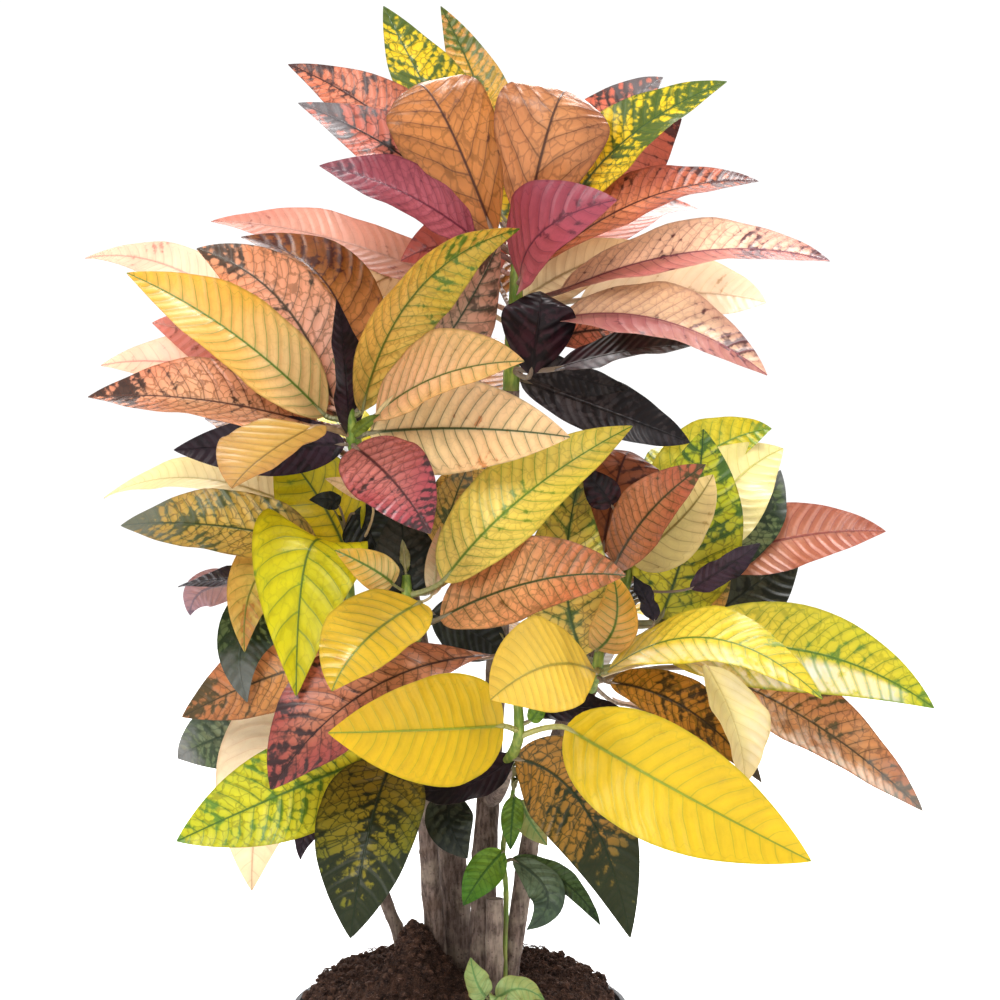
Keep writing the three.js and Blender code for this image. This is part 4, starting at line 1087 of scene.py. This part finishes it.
def lay_rod(run, name, skin, scars, seed):
    points = [seen(p) for p in run]
    radii = [p[3] for p in run]
    rough = np.array([point_on(points, s) for s in np.linspace(0, 1, 60)])
    length = length_of(rough)
    rings = max(6, int(length / RING_STEP))
    rod = rod_stock(ROD_SIDES, rings, name)
    flat = corners(rod)
    shares = np.linspace(0, 1, rings + 1)
    places, along, side, other = line_of(points, shares)
    ring = np.rint(flat[:, 2] * rings).astype(int)
    angle = np.arctan2(flat[:, 1], flat[:, 0])
    radius = lerp_list(radii, shares)[ring]
    height = shares[ring] * length
    swell = np.zeros(len(flat))
    for k in range(int(length / SCAR_STEP)):
        gap = (height - (k + 0.6) * SCAR_STEP) / SCAR_HEIGHT
        turn = (angle - k * SCAR_TURN + np.pi) % (2 * np.pi) - np.pi
        round_gap = turn * radius / SCAR_WIDTH
        swell += SCAR_SWELL * np.exp(-gap ** 2 - round_gap ** 2)
        swell -= SCAR_GROOVE * np.exp(-((gap - 0.9) ** 2) * 3 - round_gap ** 2)
    rough_part = np.array([
        noise.noise(Vector((math.cos(a) * 1.3 + seed, math.sin(a) * 1.3, h * 0.05 + seed)))
        for a, h in zip(angle, height)
    ])
    girth = radius * (1 + KNOBBLES * rough_part) + swell * scars
    offset = side[ring] * (np.cos(angle) * girth)[:, None] + other[ring] * (np.sin(angle) * girth)[:, None]
    set_corners(rod, (places[ring] + offset) * MM)
    rod.data.materials.append(skin)
    bpy.ops.object.shade_smooth_by_angle(angle=math.radians(60))
    return rod


print("scars in 100 mm of a rod", int(100 / SCAR_STEP))

# %% Stems
stem_pieces = []
for serial, (name, runs) in enumerate(STEMS.items()):
    rods = [
        lay_rod(run, f"{name}_run_{k}", BARK_SKIN, 1.0, serial * 3.1 + k)
        for k, run in enumerate(runs)
    ]
    stem = joined(rods, f"woody_{name}")
    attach(stem, "root")
    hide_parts(name)
    stem_pieces.append(stem)
    print(stem.name, triangles(stem), "triangles")

# %% [markdown]
# ## Leafy heads
# Each head is its shoot, its near leaves, its far leaves and two tiny young leaves at the growing
# point. They are joined in one piece that stands for the head's plain solid.

# %% Heads
YOUNG_LENGTH = 26.0
YOUNG_WIDTH = 8.0
YOUNG_FOLD = 0.5
YOUNG_LEAN = 0.35
YOUNG_BEND = -1.5


def young_leaves(shoot, draw):
    tip = shoot[-1]
    rise = unit(shoot[-1] - shoot[-2])
    leaves = []
    turn = draw.uniform(0, math.pi)
    for k in range(2):
        lean = np.array([math.cos(turn + k * math.pi), math.sin(turn + k * math.pi), 0.0])
        aim = unit(rise + lean * YOUNG_LEAN)
        length = YOUNG_LENGTH * draw.uniform(0.75, 1.0)
        base = tip + aim * 2
        end = base + aim * length
        middle = (base + end) / 2 + lean * YOUNG_BEND
        leaves.append(leaf_of(base, middle, end, YOUNG_WIDTH, 0.0, YOUNG_FOLD, -lean, "olive_young"))
    return leaves


draw = random.Random(11)
head_pieces = []
for serial, (name, run) in enumerate(SHOOTS.items()):
    shoot = [seen(place) for place in run]
    leaves = [near_leaf(row) for row in LEAF_ROWS.get(name, "").strip().splitlines()]
    if name in FAR_RULES:
        leaves += far_leaves(name, shoot, FAR_RULES[name])
    if name != "seedling":
        leaves += young_leaves(shoot, draw)
    parts = [lay_leaf(leaf, shoot, f"{name}_{k}", draw) for k, leaf in enumerate(leaves)]
    parts.append(lay_rod(run, f"{name}_shoot", SHOOT_SKIN, 0.5, serial * 1.7))
    piece = joined(parts, f"leafy_{name}")
    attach(piece, "root")
    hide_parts(name)
    head_pieces.append(piece)
    print(piece.name, len(leaves), "leaves", triangles(piece), "triangles")

bpy.data.objects.remove(LEAF_STOCK)
print("skins over all heads", sum(len(piece.data.materials) for piece in head_pieces))

# %% [markdown]
# ## The peat
# The root ball fills the pot and stands above it as a rough mound, higher where a heap lies at the
# stems' left foot. It is a grid drawn in to a disc, whose rim is extruded down to the pot's floor, and
# its surface is broken up by noise. Loose crumbs and root fibres lie on it, each kind modelled once
# and copied with a seeded draw.

# %% Soil
POT_HEIGHT = 195.0
POT_BASE_RADIUS = 90.0
POT_RIM_RADIUS = 120.0
POT_WALL = 2.4
POT_FLOOR = 3.2
RIM_BAND = 17.0
RIM_THICKNESS = 4.5
POT_SIDES = 40
SEAT_GAP = 0.3
SOIL_TOP = 220.0
SOIL_DROP = 29.0
SOIL_FLAT_RADIUS = 55.0
HEAP = {"x": -29, "y": -38, "rise": 42, "spread": 22}


def pot_radius(z):
    flare = POT_RIM_RADIUS - RIM_THICKNESS + POT_WALL / 2 - POT_BASE_RADIUS
    return POT_BASE_RADIUS + flare * z / POT_HEIGHT


def soil_radius(z):
    return (pot_radius(z) - POT_WALL) * math.cos(math.pi / POT_SIDES) - SEAT_GAP


SOIL_EDGE = POT_HEIGHT - 5
SOIL_RIM = soil_radius(SOIL_EDGE)


def soil_height(x, y):
    edge = (math.hypot(x, y) - SOIL_FLAT_RADIUS) / (SOIL_RIM - SOIL_FLAT_RADIUS)
    fall = min(max(edge, 0), 1) ** 2
    from_heap = ((x - HEAP["x"]) ** 2 + (y - HEAP["y"]) ** 2) / HEAP["spread"] ** 2
    heap = HEAP["rise"] * math.exp(-from_heap)
    coarse = math.sin(x * 0.17 + 1.3) * math.cos(y * 0.15 - 0.7)
    fine = math.sin(x * 0.41 + y * 0.33) * math.cos(y * 0.47 - x * 0.29)
    rough = (1.9 * coarse + 1.3 * fine) * (1 - fall)
    return SOIL_TOP - SOIL_DROP * (1 - math.sqrt(1 - fall)) + heap + rough


def soil_finish():
    made = Finish("peat_skin")
    place = made.place()
    clods = made.cloud(place, 160.0, 6.0, 0.7)
    fine = made.cloud(place, 900.0, 4.0, 0.7)
    fibre_way = made.drawn_out(place, (1.0, 4.0, 2.2))
    fibre = made.cloud(fibre_way, 420.0, 3.0, 0.6)
    tone = made.mix(clods.step(0.35, 0.66), colour("38241E"), colour("70503F"))
    tone = made.mix(fine.step(0.5, 0.72) * 0.75, tone, colour("9A7562"))
    tone = made.mix(fibre.step(0.6, 0.68) * 0.7, tone, colour("B8988A"))
    normal = made.relief(clods + fine * 0.6 + fibre * 0.4, 0.005, 1.0)
    return made.done(made.skin(Base_Color=tone, Roughness=0.95, Normal=normal))


SOIL_SKIN = soil_finish()
SOIL_GRID = 120
SOIL_BITS = 3.6
SOIL_CLODS = 4.0
EVEN_EDGE = 12


def soil_mound():
    bpy.ops.mesh.primitive_grid_add(x_subdivisions=SOIL_GRID, y_subdivisions=SOIL_GRID, size=2)
    mound = named("peat_ball")
    flat = corners(mound)
    x, y = flat[:, 0].copy(), flat[:, 1].copy()
    flat[:, 0] = x * np.sqrt(1 - y * y / 2) * SOIL_RIM
    flat[:, 1] = y * np.sqrt(1 - x * x / 2) * SOIL_RIM
    set_corners(mound, flat)
    edit_mesh("EDGE", "DESELECT")
    bpy.ops.mesh.select_non_manifold()
    levels = (SOIL_EDGE, POT_HEIGHT - RIM_BAND - 3, POT_FLOOR + SEAT_GAP)
    for high, low in zip(levels, levels[1:]):
        share = soil_radius(low) / soil_radius(high)
        bpy.ops.mesh.extrude_region_move(TRANSFORM_OT_translate={"value": (0, 0, low - high)})
        bpy.ops.transform.resize(value=(share, share, 1), center_override=(0, 0, 0))
    bpy.ops.mesh.edge_face_add()
    bpy.ops.mesh.select_all(action="SELECT")
    bpy.ops.mesh.normals_make_consistent(inside=False)
    bpy.ops.mesh.select_mode(type="VERT")
    leave_mesh()
    shaped = corners(mound)
    drop = shaped[:, 2] < -1
    for k, (x, y, z) in enumerate(shaped):
        if drop[k]:
            shaped[k, 2] = SOIL_EDGE + z
            continue
        edge = min(1.0, (SOIL_RIM - math.hypot(x, y)) / EVEN_EDGE)
        bits = noise.fractal(Vector((x, y, 3.0)) * 0.13, 0.8, 2.2, 5) * SOIL_BITS
        clod = noise.noise(Vector((x, y, 9.0)) * 0.06) * SOIL_CLODS
        shaped[k, 2] = soil_height(x, y) + (bits + clod) * edge - 1.0
    set_corners(mound, shaped * MM)
    mound.data.materials.append(SOIL_SKIN)
    bpy.ops.object.shade_smooth()
    return mound


mound = soil_mound()
print("peat", triangles(mound), "triangles")

# %% Crumbs and fibres
CRUMBS = 1700
SMALLEST_CRUMB = 0.8
CRUMB_SPREAD = 3.6
FIBRES = 1100
FIBRE_LENGTHS = (5, 17)
FIBRE_ARCHES = (-0.5, 5.0)
FIBRE_CURLS = (-0.9, 0.9)
FIBRE_GIRTHS = (0.2, 0.55)
ON_HEAP = 0.16


def crumb_stock():
    bpy.ops.mesh.primitive_ico_sphere_add(subdivisions=1, radius=1)
    crumb = named("crumb_stock")
    places = corners(crumb)
    for k, place in enumerate(places):
        places[k] = place * (1 + 0.45 * noise.noise(Vector(place) * 2.3))
    set_corners(crumb, places)
    crumb.data.materials.append(SOIL_SKIN)
    return crumb


def fibre_stock():
    fibre = rod_stock(4, 5, "fibre_stock")
    fibre.data.materials.append(SOIL_SKIN)
    return fibre


def soil_spot(draw, reach):
    """A spot on the peat, by the seeded draw, with a share of all spots gathered on the heap."""
    if draw.random() < ON_HEAP:
        return draw.gauss(HEAP["x"], HEAP["spread"] * 0.6), draw.gauss(HEAP["y"], HEAP["spread"] * 0.6)
    far_out = math.sqrt(draw.random()) * reach
    turn = draw.uniform(0, 2 * math.pi)
    return far_out * math.cos(turn), far_out * math.sin(turn)


crumb = crumb_stock()
fibre = fibre_stock()
FIBRE_FLAT = corners(fibre)
draw = random.Random(23)
scraps = []
for k in range(CRUMBS):
    x, y = soil_spot(draw, SOIL_RIM - 3)
    size = SMALLEST_CRUMB + CRUMB_SPREAD * draw.random() ** 3
    spot = Vector((x, y, soil_height(x, y) + size * 0.35)) * MM
    turned = Matrix.Rotation(draw.uniform(0, 6.28), 4, Vector((draw.random(), draw.random(), 1)))
    real = size * MM
    grown = Matrix.Diagonal((real, real * draw.uniform(0.6, 1), real * draw.uniform(0.5, 0.9), 1))
    piece = copy_of(crumb, f"crumb_{k}")
    piece.data.transform(Matrix.Translation(spot) @ turned @ grown)
    scraps.append(piece)
for k in range(FIBRES):
    x, y = soil_spot(draw, SOIL_RIM - 6)
    heading = draw.uniform(0, 2 * math.pi)
    length = draw.uniform(*FIBRE_LENGTHS)
    arch = draw.uniform(*FIBRE_ARCHES)
    curl = draw.uniform(*FIBRE_CURLS)
    thick = draw.uniform(*FIBRE_GIRTHS)
    run = FIBRE_FLAT[:, 2]
    way = heading + curl * run
    px = x + np.cos(way) * run * length
    py = y + np.sin(way) * run * length
    over = np.hypot(px, py) > SOIL_RIM - 1
    pz = np.array([soil_height(a, b) for a, b in zip(px, py)]) + arch * np.sin(np.pi * run) + 0.5
    pz = np.where(over, pz + 1.5, pz)
    taper = thick * (1.1 - 0.6 * run)
    piece = copy_of(fibre, f"fibre_{k}")
    flank = np.stack([-np.sin(way), np.cos(way), 0 * way], axis=1)
    places = np.stack([px, py, pz], axis=1) + flank * (FIBRE_FLAT[:, 0] * taper)[:, None]
    places[:, 2] += FIBRE_FLAT[:, 1] * taper
    set_corners(piece, places * MM)
    scraps.append(piece)
soil = joined([mound] + scraps, "peat_soil")
for stock in (crumb, fibre):
    bpy.data.objects.remove(stock)
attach(soil, "root")
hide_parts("soil")
print("soil with crumbs and fibres", triangles(soil), "triangles")

# %% [markdown]
# ## The pot
# A grower's pot is moulded in matt dark plastic: a tapered wall, a thicker rolled rim, a thin floor
# with drainage holes. Such a round form could start from a cylinder, but its thin section is easier
# to draw as one point extruded from corner to corner. The section is then spun round the axis, and
# the drainage holes are cut by a Boolean.

# %% Pot
SPIN_STEPS = 112
DRAIN_COUNT = 8
DRAIN_RADIUS = 6.5
DRAIN_CIRCLE = 62.0


def pot_finish():
    made = Finish("pot_skin")
    place = made.place()
    grain = made.cloud(place, 2600.0, 2.0)
    broad = made.cloud(place, 18.0, 4.0)
    x, y, z = place.split()
    dusty = (1.0 - z.step(0.0, 0.05)) * broad.step(0.42, 0.7) * 0.35
    splash = z.step(0.15, 0.2) * broad.step(0.5, 0.72) * 0.3
    tone = made.mix(broad.step(0.3, 0.75), colour("34363A"), colour("404246"))
    tone = made.mix(dusty, tone, colour("6A625A"))
    tone = made.mix(splash, tone, colour("5A4E46"))
    normal = made.relief(grain + broad * 0.2, 0.0003, 0.5)
    rough = 0.5 + grain * 0.14 + dusty * 0.3
    return made.done(made.skin(Base_Color=tone, Roughness=rough, Normal=normal))


def pot_section():
    """Radius and height of each corner, from the foot's recess up outside and down inside."""
    band = POT_HEIGHT - RIM_BAND
    inner = POT_RIM_RADIUS - RIM_THICKNESS
    return [
        (POT_BASE_RADIUS - 14, 0), (POT_BASE_RADIUS - 3, 0), (POT_BASE_RADIUS - 1, 0.5),
        (pot_radius(2), 2.2), (pot_radius(60), 60), (pot_radius(120), 120),
        (pot_radius(band - 1), band - 1), (POT_RIM_RADIUS - 1.6, band - 0.4),
        (POT_RIM_RADIUS - 0.4, band + 0.5), (POT_RIM_RADIUS, band + 2),
        (POT_RIM_RADIUS, POT_HEIGHT - 2.2), (POT_RIM_RADIUS - 0.6, POT_HEIGHT - 0.7),
        (POT_RIM_RADIUS - 2, POT_HEIGHT), (inner + 1.2, POT_HEIGHT), (inner + 0.3, POT_HEIGHT - 0.4),
        (inner, POT_HEIGHT - 1.4), (pot_radius(band - 3) - POT_WALL, band - 3),
        (pot_radius(POT_FLOOR) - POT_WALL, POT_FLOOR), (0, POT_FLOOR), (0, 1.2),
        (POT_BASE_RADIUS - 16, 1.2),
    ]


def pot_piece():
    section = pot_section()
    bpy.ops.mesh.primitive_plane_add(size=0.001)
    pot = named("grower_pot")
    edit_mesh("VERT", "SELECT")
    bpy.ops.mesh.merge(type="CENTER")
    first_r, first_z = section[0]
    bpy.ops.transform.translate(value=(first_r * MM, 0, first_z * MM))
    for (r0, z0), (r1, z1) in zip(section, section[1:]):
        way = ((r1 - r0) * MM, 0, (z1 - z0) * MM)
        bpy.ops.mesh.extrude_region_move(TRANSFORM_OT_translate={"value": way})
    bpy.ops.mesh.select_all(action="SELECT")
    bpy.ops.mesh.remove_doubles(threshold=0.00001)
    bpy.ops.mesh.select_all(action="DESELECT")
    leave_mesh()
    for k in (0, len(pot.data.vertices) - 1):
        pot.data.vertices[k].select = True
    bpy.ops.object.mode_set(mode="EDIT")
    bpy.ops.mesh.edge_face_add()
    bpy.ops.mesh.select_all(action="SELECT")
    bpy.ops.mesh.spin(steps=SPIN_STEPS, angle=2 * math.pi, center=(0, 0, 0), axis=(0, 0, 1))
    bpy.ops.mesh.select_all(action="SELECT")
    bpy.ops.mesh.remove_doubles(threshold=0.00002)
    bpy.ops.mesh.normals_make_consistent(inside=False)
    leave_mesh()
    for k in range(DRAIN_COUNT):
        turn = 2 * math.pi * k / DRAIN_COUNT
        spot = (DRAIN_CIRCLE * MM * math.cos(turn), DRAIN_CIRCLE * MM * math.sin(turn), 0)
        bpy.ops.mesh.primitive_cylinder_add(
            vertices=28, radius=DRAIN_RADIUS * MM, depth=0.02, location=spot
        )
        drill = named("drill")
        hole = pot.modifiers.new("drain", "BOOLEAN")
        hole.operation = "DIFFERENCE"
        hole.solver = "EXACT"
        hole.object = drill
        apply_all(pot)
        bpy.data.objects.remove(drill)
    alone(pot)
    bpy.ops.object.shade_smooth_by_angle(angle=math.radians(35))
    pot.data.materials.append(pot_finish())
    return pot


pot = pot_piece()
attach(pot, "root")
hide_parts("pot")
print("pot", triangles(pot), "triangles")

# %% [markdown]
# ## Floor and light
# A very pale floor and an even white surround keep the picture bright, with no edge where the floor
# ends. A single hard lamp would throw dark shadows between the leaves, so there are three large soft
# ones: one above the front gives the leaves their sheen, one overhead lights their upper sides, and
# one behind shines through them, which makes the thin yellow and peach leaves glow.

# %% Floor and lamps
def floor_finish():
    made = Finish("floor_white")
    place = made.place()
    faint = made.cloud(place, 1.4, 2.0)
    tone = made.mix(faint, (0.95, 0.95, 0.955, 1.0), (0.97, 0.97, 0.97, 1.0))
    return made.done(made.skin(Base_Color=tone, Roughness=0.9))


bpy.ops.mesh.primitive_plane_add(size=9, location=(0, 0, 0))
floor = named("floor")
floor.data.materials.append(floor_finish())

world = bpy.data.worlds.new("surround")
world.use_nodes = True
surround = world.node_tree.nodes["Background"].inputs
surround["Color"].default_value = (1.0, 1.0, 1.0, 1.0)
surround["Strength"].default_value = 1.05
bpy.context.scene.world = world

PLANT_MIDDLE = Vector((0, 0, 0.55))
LAMPS = {
    "lamp_front": ((-0.9, -2.0, 2.1), 1.1, 38.0),
    "lamp_top": ((0.6, 0.0, 2.5), 0.5, 34.0),
    "lamp_back": ((0.2, 1.8, 1.7), 1.5, 46.0),
}
for name, (place, size, power) in LAMPS.items():
    lamp_data = bpy.data.lights.new(name, "AREA")
    lamp_data.size = size
    lamp_data.energy = power
    lamp = add_object(name, lamp_data)
    lamp.location = place
    look_along(lamp, PLANT_MIDDLE - Vector(place))
bpy.context.scene.view_settings.view_transform = "Standard"
bpy.context.scene.view_settings.gamma = 0.86
print("lamps", len(LAMPS))

# %% [markdown]
# ## Triangles
# The triangles of all the pieces are counted and printed.

# %% Count the triangles
print("triangles in all", sum(triangles(o) for o in head_pieces + stem_pieces + [soil, pot]))
